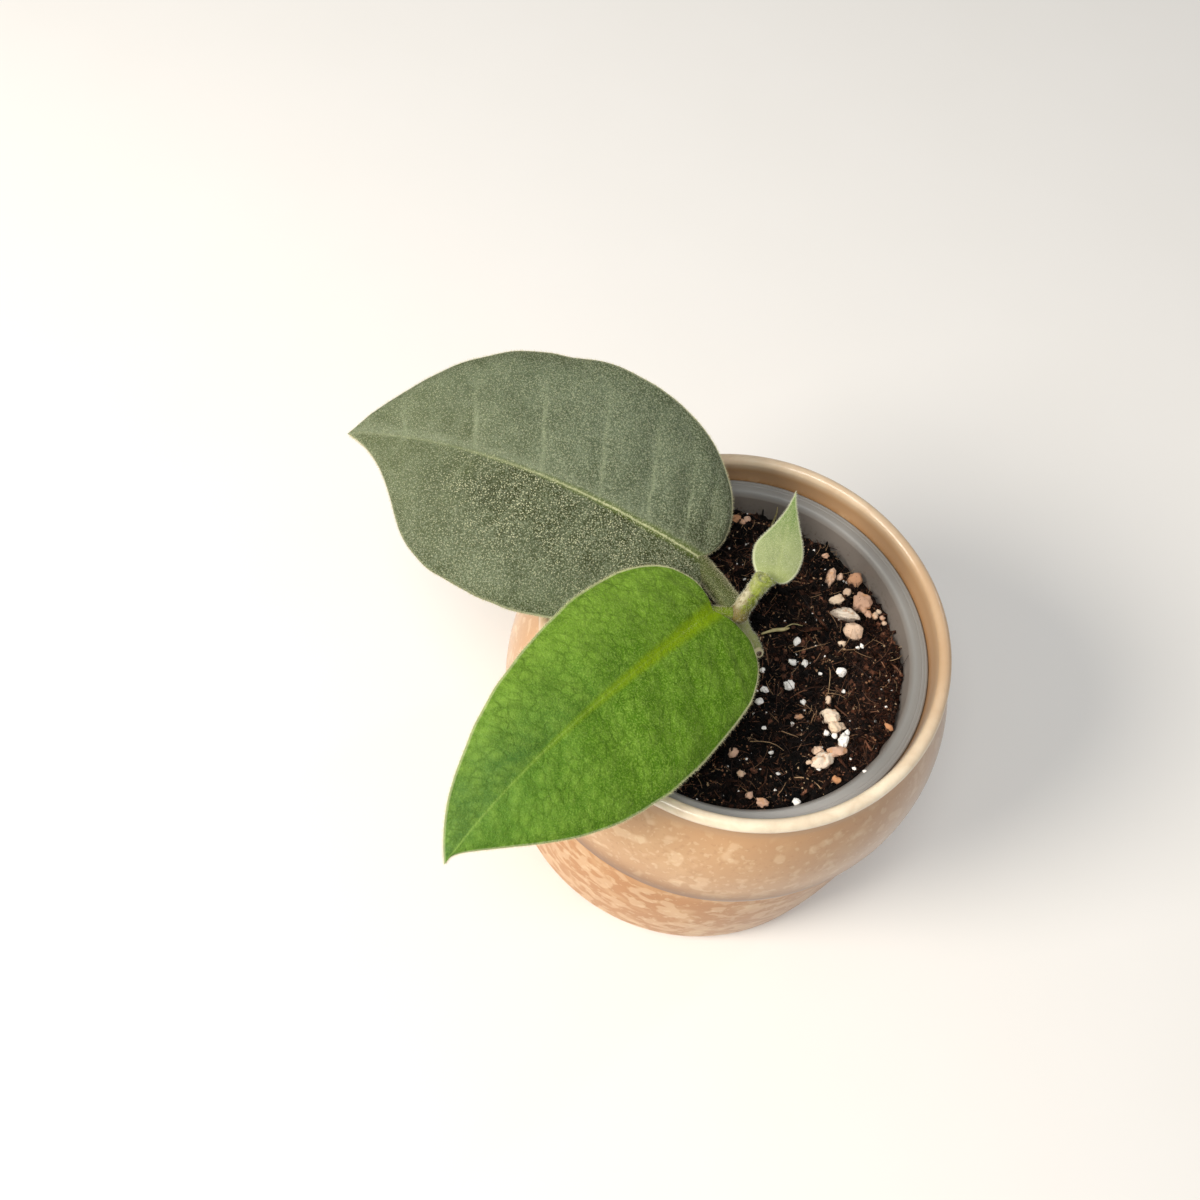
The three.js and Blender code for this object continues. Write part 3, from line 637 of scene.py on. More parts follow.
pumice = [  # x, y, length, width, turned by, from cream to orange
    (21, 25.5, 4.4, 2.3, 80, 0.45), (23.5, 26.5, 2.1, 1.5, 70, 0.45), (27.5, 26.5, 3.7, 3.3, -10, 0.9),
    (25.5, 22, 2.3, 2, 10, 0.4), (23, 19, 3.4, 2.5, 30, 0.3), (29, 19.5, 5.1, 4, 110, 0.65),
    (25, 15, 6, 3.2, -10, 0.1), (27.5, 10.5, 4.8, 4.4, 0, 0.4), (33, 17, 1.9, 1.7, 10, 0.4),
    (31, 17, 2.4, 1.7, -40, 0.6), (34, 18.5, 1.5, 1.3, 0, 0.35), (35, 17, 1.4, 1.2, 0, 0.55),
    (35.5, 15.5, 1.4, 1.2, 0, 0.4), (25, 6.5, 1.7, 1.4, 10, 0.3), (23.5, -13.5, 4.5, 3.1, 10, 0.2),
    (25, -16, 3.7, 2.8, 10, 0.3), (22.5, -25.5, 5, 3.7, 40, 0.15), (21.5, -23, 2.5, 2.2, 10, 0.4),
    (25.5, -22.5, 4.6, 2.6, 30, 0.5), (19.5, -26.5, 1.4, 1.2, 10, 0.4), (23, -9, 2.1, 1.5, 100, 0.35),
    (26, -29.5, 2.1, 1.6, -30, 1), (37, -14.5, 2.1, 1.4, -30, 1), (16.5, -15, 2.2, 1.1, 20, 0.8),
    (-5, 36, 3, 2.3, 70, 0.95), (-2.5, 36.5, 2.1, 2, 10, 0.5), (-3.5, 34.5, 1.4, 1.2, 10, 0.7),
    (18.5, 30, 1.7, 1.3, 10, 0.6), (10, -38, 2.6, 2, 0, 0.6), (7, -36.5, 2.1, 1.6, 30, 0.5),
    (4.5, -32, 1.9, 1.5, 0, 0.4), (2, -27.5, 2.4, 2, 60, 0.5), (-20, 20, 3, 2.4, 10, 0.3),
    (-30, -8, 3.4, 2.6, 80, 0.5), (-12, -33, 3, 2.1, 20, 0.4), (-26, 26, 2.6, 2, -20, 0.6),
]

whiteGrains = [  # the same for perlite, which shows white
    (14, 5, 2.1, 1.7, 60), (16.5, -0.5, 1.8, 1.3, 100), (25.5, -1, 2.6, 2, 30), (13.5, -1, 2.2, 1.5, -10),
    (27, -19.5, 3.1, 2.3, 80), (28, -17, 1.4, 1.1, 100), (23, -18, 1.4, 1.1, 100),
    (25, -18.5, 1.3, 1.1, 10), (17.5, -36.5, 1.9, 1.6, 10), (32.5, -26.5, 1.1, 0.9, 10),
    (17, -11, 1.3, 1.3, 10), (13, -7.5, 2.5, 2, -40),
    (30, 7, 1.4, 0.9, -60), (7.5, -9.5, 1.9, 1.5, 0), (6.5, -4.5, 1.5, 1.3, 40), (6.5, -13, 2, 1.6, 20),
    (20.5, -2.5, 0.9, 0.8, 0), (22, -27.5, 1, 0.8, 0), (15, -17, 0.8, 0.8, 0), (29, 6.5, 0.9, 0.8, 0),
    (18, 12, 0.8, 0.7, 0), (11, -25, 1.1, 0.8, 30), (13, -30, 1, 0.8, 0), (30, -26, 0.9, 0.8, 0),
    (26.5, -6, 1, 0.8, 70), (8.5, -19.5, 1.1, 0.9, 0),
]

longFibres = [  # from x, y, to x, y, bow to one side, thickness, paleness
    (17, -30, 24, -33, -1.2, 0.3, 1.0), (24.5, -8.5, 29, -12.5, 0.9, 0.42, 0.55),
    (22.5, -10, 19.5, -16.5, 0.8, 0.22, 0.95), (24, -4, 28.5, -11, -0.3, 0.2, 0.7),
    (17.5, 9, 19, 0.5, -1.6, 0.24, 0.85), (36, 6, 40, 1.5, 0.1, 0.4, 0.65), (34.5, 3, 37, 1, 0.1, 0.3, 0.8),
    (12, -5.5, 15.5, -0.5, 0.3, 0.2, 0.95), (29.5, -17, 31, -19.5, 0.2, 0.3, 0.6),
    (36, -11.5, 37, -14.5, 0.2, 0.22, 0.8), (14, 12, 20, 9.5, 0.8, 0.2, 0.6),
    (19, -7, 13, -12, 0.7, 0.22, 0.75), (30, -3, 35, -8, 1.0, 0.2, 0.6), (8, -24, 15, -27, 1.2, 0.2, 0.8),
    (16, 20, 22, 23, 0.9, 0.2, 0.7),
    (8, 27, 12, 21, 1.1, 0.2, 0.6), (-2, 26, 4, 24, 0.8, 0.22, 0.6), (31, -10, 38, -9, 0.7, 0.2, 0.7),
]

driedShoot = [  # path, girth at each point, steps along it, sides: side shoot, papery scale, seedling
    (((4.9, 4.2, 87), (7.5, 5.4, 87.8), (9.9, 6.1, 88), (11.4, 6.9, 87.8)), (0.2, 0.42, 0.5, 0.12), 40, 10),
    (((9.6, 6, 88.1), (11.8, 7.6, 88.8), (14.4, 8, 88.2)), (0.14, 0.11, 0.08), 20, 8),
    (((4.4, 37.4, 83), (4.6, 38.2, 88), (4.2, 38.5, 91)), (0.3, 0.24, 0.12), 24, 10),
]


def mixLevel(x, y):
    # height of the bed without its fine clods: rolling, sunk behind and heaped in front
    rolls = 0.6 * math.sin(0.23 * x + 0.9) * math.cos(0.19 * y - 0.4)
    rolls += 0.5 * math.sin(0.33 * x - 0.2 * y + 2)
    level = mixBed["level"] + mixBed["relief"] * rolls
    turn = math.radians(1.9 * (math.degrees(math.atan2(y, x)) - mixBed["heapTurn"]))
    if abs(turn) < math.pi:
        level -= mixBed["heap"] * math.sin(turn) * clamp(math.hypot(x, y) / mixBed["radius"]) ** 4
    for cx, cy, size in clods:
        gap = math.hypot(x - cx, y - cy) / (0.62 * size)
        if gap < 1:
            level += 0.34 * size * (1 - gap * gap) ** 2
    return level


def mixHeight(x, y):
    # the level with its fine clods; it meets the pot's wall unevenly
    fine = noise.turbulence(Vector((x, y, 3)) / 2.6, 5, False, noise_basis="PERLIN_ORIGINAL")
    coarse = noise.noise(Vector((x, y, 9)) / 5.5)
    edge = clamp((math.hypot(x, y) / mixBed["radius"] - 0.82) / 0.18)
    ragged = edge * (mixBed["ragged"] * noise.noise(Vector((x, y, 17)) / 4.2) - 0.5)
    return mixLevel(x, y) + mixBed["rough"] * (1.1 * fine - 0.6) + 0.7 * coarse + ragged


def makeMixBed():
    p = mixBed
    points, faces = [(0, 0, mixHeight(0, 0))], []
    for ring in range(1, p["rings"] + 1):
        for i in range(p["sectors"]):
            turn = 2 * math.pi * i / p["sectors"]
            out = p["radius"] * ring / p["rings"]
            x, y = out * math.cos(turn), out * math.sin(turn)
            z = mixHeight(x, y)
            reach = 1 + (nurseryInner(z) - 0.05 - p["radius"]) / p["radius"] * (ring / p["rings"]) ** 6
            points.append((x * reach, y * reach, z))
    for i in range(p["sectors"]):
        turn = 2 * math.pi * i / p["sectors"]
        points.append((p["footRadius"] * math.cos(turn), p["footRadius"] * math.sin(turn), p["bottom"]))
    n = p["sectors"]
    for i in range(n):
        j = (i + 1) % n
        faces.append((0, 1 + i, 1 + j))
        for ring in range(p["rings"]):
            a, b = 1 + ring * n, 1 + (ring + 1) * n
            faces.append((a + i, b + i, b + j, a + j))
    faces.append(tuple(reversed(range(1 + p["rings"] * n, 1 + (p["rings"] + 1) * n))))
    mesh = meshFrom("pottingMixBed", [Vector(q) * mm for q in points], faces)
    storeValues(mesh, "spread", [1.0 if i < 1 + (p["rings"] - 3) * n else 0.0 for i in range(len(points))])
    return mesh


def crumbShape(name, seed, squash, detail=1):
    # one loose crumb, about 1 mm across, knobbly
    body = bmesh.new()
    bmesh.ops.create_icosphere(body, subdivisions=detail, radius=0.5 * mm)
    for v in body.verts:
        push = noise.noise(v.co * 1900 + Vector((seed * 7.1, seed, 0)))
        v.co *= 1 + 0.75 * push
        v.co.z *= squash
    mesh = bpy.data.meshes.new(name)
    body.to_mesh(mesh)
    body.free()
    return addPiece(name, mesh)


def strandShape(name, seed, length, thickness, curl, steps):
    # one coir fibre: a thin three-sided strand with a wandering bend
    rng = random.Random(seed)
    heading, rise = 0.0, rng.uniform(-0.1, 0.5)
    place, points, faces = Vector((0, 0, 0)), [], []
    for k in range(steps + 1):
        level = math.cos(rise)
        along = Vector((math.cos(heading) * level, math.sin(heading) * level, math.sin(rise)))
        side = along.cross(Vector((0, 0, 1))).normalized()
        lift = side.cross(along)
        wide = thickness * (1 - 0.6 * k / steps) / 2
        for i in range(3):
            turn = 2 * math.pi * i / 3
            points.append((place + (side * math.cos(turn) + lift * math.sin(turn)) * wide) * mm)
        place = place + along * length / steps
        heading += curl * rng.uniform(-0.1, 0.5)
        rise += rng.uniform(-0.3, 0.12)
    for k in range(steps):
        for i in range(3):
            a, b = 3 * k + i, 3 * k + (i + 1) % 3
            faces.append((a, b, b + 3, a + 3))
    faces += [(2, 1, 0), (3 * steps, 3 * steps + 1, 3 * steps + 2)]
    return addPiece(name, meshFrom(name, points, faces))


def scatterTree():
    # drops shapes of a collection on the bed, each turned, sized and toned at random
    tree, given, result = newTree("looseMix", [
        ("Shapes", "Collection"), ("Density", "Float"), ("Smallest", "Float"), ("Largest", "Float"),
        ("Lean", "Float"), ("Lift", "Float"), ("Seed", "Int"), ("Finish", "Material")])
    spread = addNode(tree, "GeometryNodeInputNamedAttribute", {"Name": "spread"}, data_type="FLOAT")
    density = addNode(tree, "ShaderNodeMath", {
        0: given.outputs["Density"], 1: spread.outputs["Attribute"]}, operation="MULTIPLY")
    points = addNode(tree, "GeometryNodeDistributePointsOnFaces", {
        "Mesh": given.outputs["Geometry"], "Density": density, "Seed": given.outputs["Seed"]})
    shapes = addNode(tree, "GeometryNodeCollectionInfo", {
        "Collection": given.outputs["Shapes"], "Separate Children": True, "Reset Children": True})
    turn = randomLean(tree, given)
    draw = addNode(tree, "FunctionNodeRandomValue", {"Seed": given.outputs["Seed"]}, data_type="FLOAT")
    # small ones are common and large ones rare
    steep = addNode(tree, "ShaderNodeMath", {0: draw.outputs[1], 1: 2.2}, operation="POWER")
    size = addNode(tree, "ShaderNodeMapRange", {
        "Value": steep, "To Min": given.outputs["Smallest"], "To Max": given.outputs["Largest"]})
    placed = addNode(tree, "GeometryNodeInstanceOnPoints", {
        "Points": points.outputs["Points"], "Instance": shapes.outputs[0], "Pick Instance": True,
        "Rotation": turn, "Scale": size.outputs["Result"]})
    up = addNode(tree, "ShaderNodeMath", {
        0: given.outputs["Lift"], 1: size.outputs["Result"]}, operation="MULTIPLY")
    rise = addNode(tree, "ShaderNodeCombineXYZ", {2: up})
    lifted = addNode(tree, "GeometryNodeTranslateInstances", {
        "Instances": placed, "Translation": rise, "Local Space": False})
    toneDraw = addNode(tree, "FunctionNodeRandomValue", {"Seed": 91}, data_type="FLOAT")
    withTone = addNode(tree, "GeometryNodeStoreNamedAttribute", {
        "Geometry": lifted, "Name": "tone", "Value": toneDraw.outputs[1],
    }, data_type="FLOAT", domain="INSTANCE")
    endTree(tree, withTone, given.outputs["Finish"], result)
    return tree


def toned(tree, stops):
    # a colour picked by each grain's own tone, from several
    tone = addNode(tree, "ShaderNodeAttribute", attribute_name="tone")
    ramp = addNode(tree, "ShaderNodeValToRGB", {0: tone.outputs["Fac"]})
    for element, (position, code) in zip(ramp.color_ramp.elements, stops):
        element.position, element.color = position, hexColour(code)
    for position, code in stops[2:]:
        ramp.color_ramp.elements.new(position).color = hexColour(code)
    return ramp


def dampCoir():
    # damp coir and peat: nearly black, with painted shade that darkens the left by the stem and
    # lightens towards the right, red brown where it dries at the wall, matt
    material, tree = newMaterial("dampCoir")
    place = patternPlace(tree)
    crumb = toned(tree, [
        (0.0, "#070403"), (1.0, "#7c5441"), (0.5, "#0d0705"), (0.78, "#1e100a"), (0.92, "#3d2317")])
    fine = addNode(tree, "ShaderNodeTexNoise", {
        "Vector": place, "Scale": 1 / 0.6, "Detail": 6.0, "Roughness": 0.75})
    patches = addNode(tree, "ShaderNodeTexNoise", {"Vector": place, "Scale": 1 / 8, "Detail": 3.0})
    dry = addNode(tree, "ShaderNodeMapRange", {
        "Value": patches, "From Min": 0.42, "From Max": 0.62, "To Min": 0.15, "To Max": 1.8})
    shade = addNode(tree, "ShaderNodeMapRange", {
        "Value": fine, "From Min": 0.35, "From Max": 0.68, "To Min": 0.1, "To Max": 2.3})
    side = addNode(tree, "ShaderNodeSeparateXYZ", {0: place}).outputs["X"]
    # painted shade: darker on the left, in the shade of the stem and leaves, lighter towards the right
    shadedLeftLitRight = addNode(tree, "ShaderNodeMapRange", {
        "Value": side, "From Min": 6.0, "From Max": 30.0, "To Min": 0.55, "To Max": 1.35})
    unevenly = addNode(tree, "ShaderNodeMath", {0: dry, 1: shadedLeftLitRight}, operation="MULTIPLY")
    tone = addNode(tree, "ShaderNodeMath", {0: unevenly, 1: shade}, operation="MULTIPLY")
    dark = addNode(tree, "ShaderNodeVectorMath", {0: crumb, "Scale": tone}, operation="SCALE")
    wall = addNode(tree, "ShaderNodeMapRange", {
        "Value": side, "From Min": 25.0, "From Max": 37.0, "To Max": 0.8})
    red = addNode(tree, "ShaderNodeMapRange", {"Value": fine, "From Min": 0.48, "From Max": 0.7})
    redShare = addNode(tree, "ShaderNodeMath", {0: wall, 1: red}, operation="MULTIPLY")
    colour = addNode(tree, "ShaderNodeMix", {
        0: redShare, 6: dark, 7: "#6d3820"}, data_type="RGBA").outputs[2]
    # a film of water on some crumbs gives small glints
    wet = addNode(tree, "ShaderNodeMapRange", {
        "Value": fine, "From Min": 0.45, "From Max": 0.65, "To Min": 0.85, "To Max": 0.32})
    finishMaterial(tree, {
        "Base Color": colour, "Roughness": wet, "Specular IOR Level": 0.18}, fine, 0.6)
    return material


def dryCoirDust():
    # the driest crumbs, a quarter of a millimetre across: buff to red brown specks on the dark mix
    material, tree = newMaterial("dryCoirDust")
    speck = toned(tree, [(0.0, "#3a2016"), (1.0, "#d8bd98"), (0.45, "#6a432e"), (0.8, "#9b7150")])
    grain = addNode(tree, "ShaderNodeTexNoise", {
        "Vector": patternPlace(tree), "Scale": 1 / 0.4, "Detail": 3.0})
    finishMaterial(tree, {"Base Color": speck, "Roughness": 0.8}, grain, 0.1)
    return material


def coirFibre():
    # dry coconut fibre: straw to red brown, slightly glossy along its length
    material, tree = newMaterial("coirFibre")
    strand = toned(tree, [
        (0.0, "#150a06"), (1.0, "#cdab82"), (0.45, "#28150d"), (0.66, "#502f1e"), (0.84, "#8a5d41")])
    grain = addNode(tree, "ShaderNodeTexNoise", {
        "Vector": patternPlace(tree), "Scale": 1 / 0.5, "Detail": 3.0})
    shade = addNode(tree, "ShaderNodeMapRange", {"Value": grain, "To Min": 0.6, "To Max": 1.3})
    colour = addNode(tree, "ShaderNodeVectorMath", {0: strand, "Scale": shade}, operation="SCALE")
    finishMaterial(tree, {"Base Color": colour, "Roughness": 0.6}, grain, 0.05)
    return material


def pumiceStone():
    # crushed pumice: chalky, cream to salmon with orange stains, a few pores, soiled where it lies
    # in the mix
    material, tree = newMaterial("pumiceStone")
    place = patternPlace(tree)
    own = toned(tree, [
        (0.0, "#efe6d8"), (1.0, "#c08a62"), (0.3, "#ecd5ba"), (0.5, "#d3ae96"), (0.8, "#caa084")])
    cloud = addNode(tree, "ShaderNodeTexNoise", {
        "Vector": place, "Scale": 1 / 2.2, "Detail": 4.0, "Roughness": 0.6})
    stained = addNode(tree, "ShaderNodeMapRange", {
        "Value": cloud, "From Min": 0.54, "From Max": 0.66, "To Max": 0.7}, interpolation_type="SMOOTHSTEP")
    pores = addNode(tree, "ShaderNodeTexVoronoi", {"Vector": place, "Scale": 1 / 0.8, "Randomness": 1.0})
    grain = addNode(tree, "ShaderNodeTexNoise", {"Vector": place, "Scale": 1 / 0.35, "Detail": 4.0})
    someHere = addNode(tree, "ShaderNodeMapRange", {
        "Value": cloud, "From Min": 0.5, "From Max": 0.36, "To Max": 0.2})
    hollow = addNode(tree, "ShaderNodeMath", {
        0: pores.outputs["Distance"], 1: someHere}, operation="LESS_THAN")
    rise = addNode(tree, "ShaderNodeAttribute", attribute_name="rise")
    sunk = addNode(tree, "ShaderNodeMath", {
        0: grain, 1: 0.5, 2: rise.outputs["Fac"]}, operation="MULTIPLY_ADD")
    soil = addNode(tree, "ShaderNodeMapRange", {
        "Value": sunk, "From Min": 0.95, "From Max": 0.65, "To Max": 0.7}, interpolation_type="SMOOTHSTEP")
    colour = own
    for share, tone in ((stained, "#cf9a6a"), (hollow, "#5f4636"), (soil, "#5d4334")):
        colour = addNode(tree, "ShaderNodeMix", {0: share, 6: colour, 7: tone}, data_type="RGBA").outputs[2]
    finishMaterial(tree, {
        "Base Color": colour, "Roughness": 0.9, "Subsurface Weight": 0.08,
        "Subsurface Radius": (0.001, 0.0007, 0.0005)}, grain, 0.14)
    return material


def expandedPerlite():
    # expanded perlite: bright white popped glass, matt, with open bubbles and a dusting of peat
    material, tree = newMaterial("expandedPerlite")
    place = patternPlace(tree)
    cloud = addNode(tree, "ShaderNodeTexNoise", {"Vector": place, "Scale": 1 / 0.8, "Detail": 4.0})
    dust = addNode(tree, "ShaderNodeMapRange", {
        "Value": cloud, "From Min": 0.58, "From Max": 0.75, "To Max": 0.5})
    bubbles = addNode(tree, "ShaderNodeTexVoronoi", {"Vector": place, "Scale": 1 / 0.75, "Randomness": 1.0})
    burst = addNode(tree, "ShaderNodeMapRange", {
        "Value": bubbles.outputs["Distance"], "From Min": 0.24, "From Max": 0.14, "To Max": 0.6})
    colour = "#fdfbf6"
    for share, tone in ((dust, "#a8978a"), (burst, "#4c4038")):
        colour = addNode(tree, "ShaderNodeMix", {0: share, 6: colour, 7: tone}, data_type="RGBA").outputs[2]
    finishMaterial(tree, {
        "Base Color": colour, "Roughness": 0.7, "Subsurface Weight": 0.15,
        "Subsurface Radius": (0.001, 0.001, 0.001)}, cloud, 0.1)
    return material


def lumpMesh(x, y, long, wide, turned, seed):
    # a crushed stone: a rounded block with a few broken faces, half sunk in the bed
    rng = random.Random(seed)
    body = bmesh.new()
    bmesh.ops.create_icosphere(body, subdivisions=4 if long > 2.4 else 3, radius=0.5)
    cuts = []
    for _ in range(9):
        way = Vector((rng.gauss(0, 1), rng.gauss(0, 1), rng.gauss(0, 0.8))).normalized()
        cuts.append((way, rng.uniform(0.33, 0.46)))
    for v in body.verts:
        v.co *= 1 + 0.5 * noise.noise(v.co * 2.6 + Vector((seed * 3.7, 0, 0)))
        for way, reach in cuts:
            over = v.co.dot(way) - reach
            if over > 0:
                v.co -= way * over * 0.65
        v.co += v.co * 0.2 * noise.noise(v.co * 5 + Vector((0, seed, 0)))
    lean = Euler((rng.uniform(-0.25, 0.25), rng.uniform(-0.25, 0.25), math.radians(turned))).to_matrix()
    tall = 0.8 * wide
    place = Vector((x, y, mixLevel(x, y) + 0.5 + 0.18 * tall))
    for v in body.verts:
        v.co = (lean @ Vector((v.co.x * long, v.co.y * wide, v.co.z * tall)) * 1.12 + place) * mm
    return body


def joinLumps(name, lumps, tones):
    whole = bpy.data.meshes.new(name)
    joined = bmesh.new()
    counts, rises = [], []
    for lump in lumps:
        part = bpy.data.meshes.new("lump")
        lump.to_mesh(part)
        lump.free()
        joined.from_mesh(part)
        counts.append(len(part.vertices))
        heights = [v.co.z for v in part.vertices]
        rises += [(z - min(heights)) / (max(heights) - min(heights)) for z in heights]
        bpy.data.meshes.remove(part)
    joined.to_mesh(whole)
    joined.free()
    whole.polygons.foreach_set("use_smooth", [True] * len(whole.polygons))
    storeValues(whole, "tone", [tone for tone, count in zip(tones, counts) for _ in range(count)])
    storeValues(whole, "rise", rises)  # from 0 at a stone's foot to 1 at its top
    return addPiece(name, whole)


def makeFibres(material):
    # the fibres and the dry twig that show singly
    meshes, tones = [], []
    for x, y, endX, endY, bow, thickness, paleness in longFibres:
        start, end = Vector((x, y, 0)), Vector((endX, endY, 0))
        side = (end - start).normalized().cross(Vector((0, 0, 1)))
        path = []
        for t, out in ((0, 0), (0.3, 0.8), (0.7, 0.9), (1, 0)):
            spot = start.lerp(end, t) + side * bow * out
            spot.z = mixHeight(spot.x, spot.y) + 0.35 + 0.5 * out
            path.append(spot)
        girths = [share * thickness for share in (0.5, 0.5, 0.4, 0.2)]
        meshes.append(barMesh("fibre", path, girths, 14, 5))
        tones += [0.45 + 0.5 * paleness] * len(meshes[-1].vertices)
    piece = joinMeshes("longCoirFibres", meshes)
    storeValues(piece.data, "tone", tones)
    dress(piece, "potting_mix", material, "potting_mix")


def makeTwig():
    # a dry side shoot lying by the stem, a papery scale, and a seedling at the wall
    parts = [barMesh("twigPart", [Vector(p) for p in path], *shape) for path, *shape in driedShoot]
    piece = joinMeshes("dryTwig", parts)
    material, tree = newMaterial("dryTwig")
    bark = addNode(tree, "ShaderNodeTexNoise", {
        "Vector": patternPlace(tree), "Scale": 1 / 0.9, "Detail": 4.0})
    colour = addNode(tree, "ShaderNodeMix", {
        0: bark, 6: "#6b5f2c", 7: "#d6cc98"}, data_type="RGBA").outputs[2]
    finishMaterial(tree, {"Base Color": colour, "Roughness": 0.6}, bark, 0.1)
    dress(piece, "potting_mix", material, "potting_mix")


def makePottingMix():
    bedMaterial, fibre, white, stone = dampCoir(), coirFibre(), expandedPerlite(), pumiceStone()
    dust = dryCoirDust()
    bed = addPiece("pottingMixBed", makeMixBed())
    storeValues(bed.data, "tone", [clamp(0.4 + 0.9 * noise.noise(v.co * 350)) for v in bed.data.vertices])
    tree = scatterTree()
    p = mixBed
    crumbs = [crumbShape(f"crumb{k}", k, 0.8) for k in range(6)]
    fuzz = [strandShape(f"fuzz{k}", 30 + k, 1.5 + 0.35 * k, 0.11, 0.9, 3) for k in range(5)]
    strands = [strandShape(f"strand{k}", 40 + k, 3.5 + 0.8 * k, 0.15, (-1) ** k * 0.5, 7) for k in range(8)]
    slivers = [strandShape(f"sliver{k}", 60 + k, 2.6, 0.7, 0.1, 2) for k in range(3)]
    dryOnes = [crumbShape(f"dry{k}", 70 + k, 0.8) for k in range(3)]
    grit = [crumbShape(f"white{k}", 80 + k, 0.85, 2) for k in range(3)]
    kinds = [  # name, shapes, how many, smallest and largest, lean, lift in metres, material
        ("coirCrumbs", crumbs, p["crumbs"], 0.4, 2.2, 3.0, 0.0001, bedMaterial),
        ("coirFuzz", fuzz, p["fuzz"], 0.7, 1.5, 0.7, 0.0003, fibre),
        ("coirStrands", strands, p["strands"], 0.6, 1.4, 0.35, 0.0005, fibre),
        ("barkSlivers", slivers, p["slivers"], 0.8, 2.0, 0.4, 0.0003, bedMaterial),
        ("dryCrumbs", dryOnes, p["dust"], 0.18, 0.7, 3.0, 0.0006, dust),
        ("perliteGrit", grit, p["perlite"], 0.18, 0.8, 3.0, 0.0005, white),
    ]
    for index, (name, shapes, density, smallest, largest, lean, lift, material) in enumerate(kinds):
        group = bpy.data.collections.new(name + "Shapes")
        for shape in shapes:
            bpy.context.scene.collection.objects.unlink(shape)
            group.objects.link(shape)
        loose = runTree(bed, tree, {
            "Shapes": group, "Density": density * 1e6, "Smallest": smallest, "Largest": largest,
            "Lean": lean, "Lift": lift, "Seed": p["seed"] + index, "Finish": material}, name)
        for shape in shapes:
            bpy.data.objects.remove(shape)
        bpy.data.collections.remove(group)
        dress(loose, "potting_mix", None, "potting_mix")
    dress(bed, "potting_mix", bedMaterial, "potting_mix")
    stones = [lumpMesh(*spec[:5], 3 + i) for i, spec in enumerate(pumice)]
    pale = [spec[5] for spec in pumice]
    dress(joinLumps("pumiceLumps", stones, pale), "potting_mix", stone, "potting_mix")
    grains = [lumpMesh(*spec, 50 + i) for i, spec in enumerate(whiteGrains)]
    dress(joinLumps("perliteGrains", grains, [0.5] * len(grains)), "potting_mix", white, "potting_mix")
    makeFibres(fibre)
    makeTwig()


makePottingMix()
print("potting mix laid")

greyLeaf = {
    # where the blade starts, and the way it points: degrees, over its length
    "base": (-15, 11.2, 105.5), "heading": 170, "hook": 5, "rise": 22, "droop": 49, "droopPower": 1.3,
    "roll": -16,
    # the blade's form
    "length": 90.5, "fold": 8, "camber": 5, "wave": 0.7, "waveLength": 31, "curl": 1.5, "wobble": 0.5,
    "thickness": 1.2, "edge": 0.7, "veinPairs": 6.8, "veinLean": 0.3, "veinRelief": 0.55,
    "groove": (0.4, 0.9), "petiole": 2.6, "rib": 1.7,
    # the margin of each half: lobe, shoulder, widest at, width, round, flank, tip, tip width
    "left": (14, 10.3, 39, 31, 22.5, 40, 24.7, 12.6),
    "right": (12, 8.2, 29.8, 31.8, 25.8, 28.5, 24, 21.5),
    "rows": 150, "columns": 34,
    "tones": {  # ground, then each layer over it
        "deep": "#3d4830", "light": "#5f6b54", "tip": "#646d4c", "base": "#2c331a", "near": "#2b310c",
        "far": "#5f6b58", "side": "#5f6742", "cell": "#8e987d", "net": "#414a2e", "dot": "#cccda8",
        "vein": "#889275", "band": "#55651a", "line": "#d0d4a6", "edge": "#d2d5ae", "back": "#7d876b",
        "backLight": "#99a182",
    },
    "look": {  # sizes in mm, and how much of each layer shows
        "quilt": 3.0, "cells": 0.15, "net": 0.15, "grain": 0.5, "flecks": 0.75, "tipFlecks": 0.45,
        "dots": 0.3, "nearDots": 1.0, "tipFrom": 0.4, "tipShare": 0.6, "baseShare": 0.95,
        "litFarShare": 0.3, "shadedSideShare": 0.25, "shadedNearShare": 0.95, "nearReach": 1.1, "haloShare": 0.4,
        "marginShadeShare": 0.5, "edgeShare": 0.12, "veinWidth": 0.065, "nearVeins": 0.3, "farVeins": 0.75,
        "bandWidth": 1.9, "band": 0.65, "lineWidth": 0.45, "line": 0.8, "baseLine": 1.0,
        "tipLine": 0.15, "dome": 0.4, "relief": 0.16, "roughness": 0.6, "gloss": 0.22, "sheen": 0.05,
    },
    "down": {  # hairs to the square mm, their length and width in mm
        "density": 6, "length": 0.28, "width": 0.042, "lean": 1.1, "underShare": 0.5, "fringe": 30,
        "fringeLength": 0.6,
    },
}

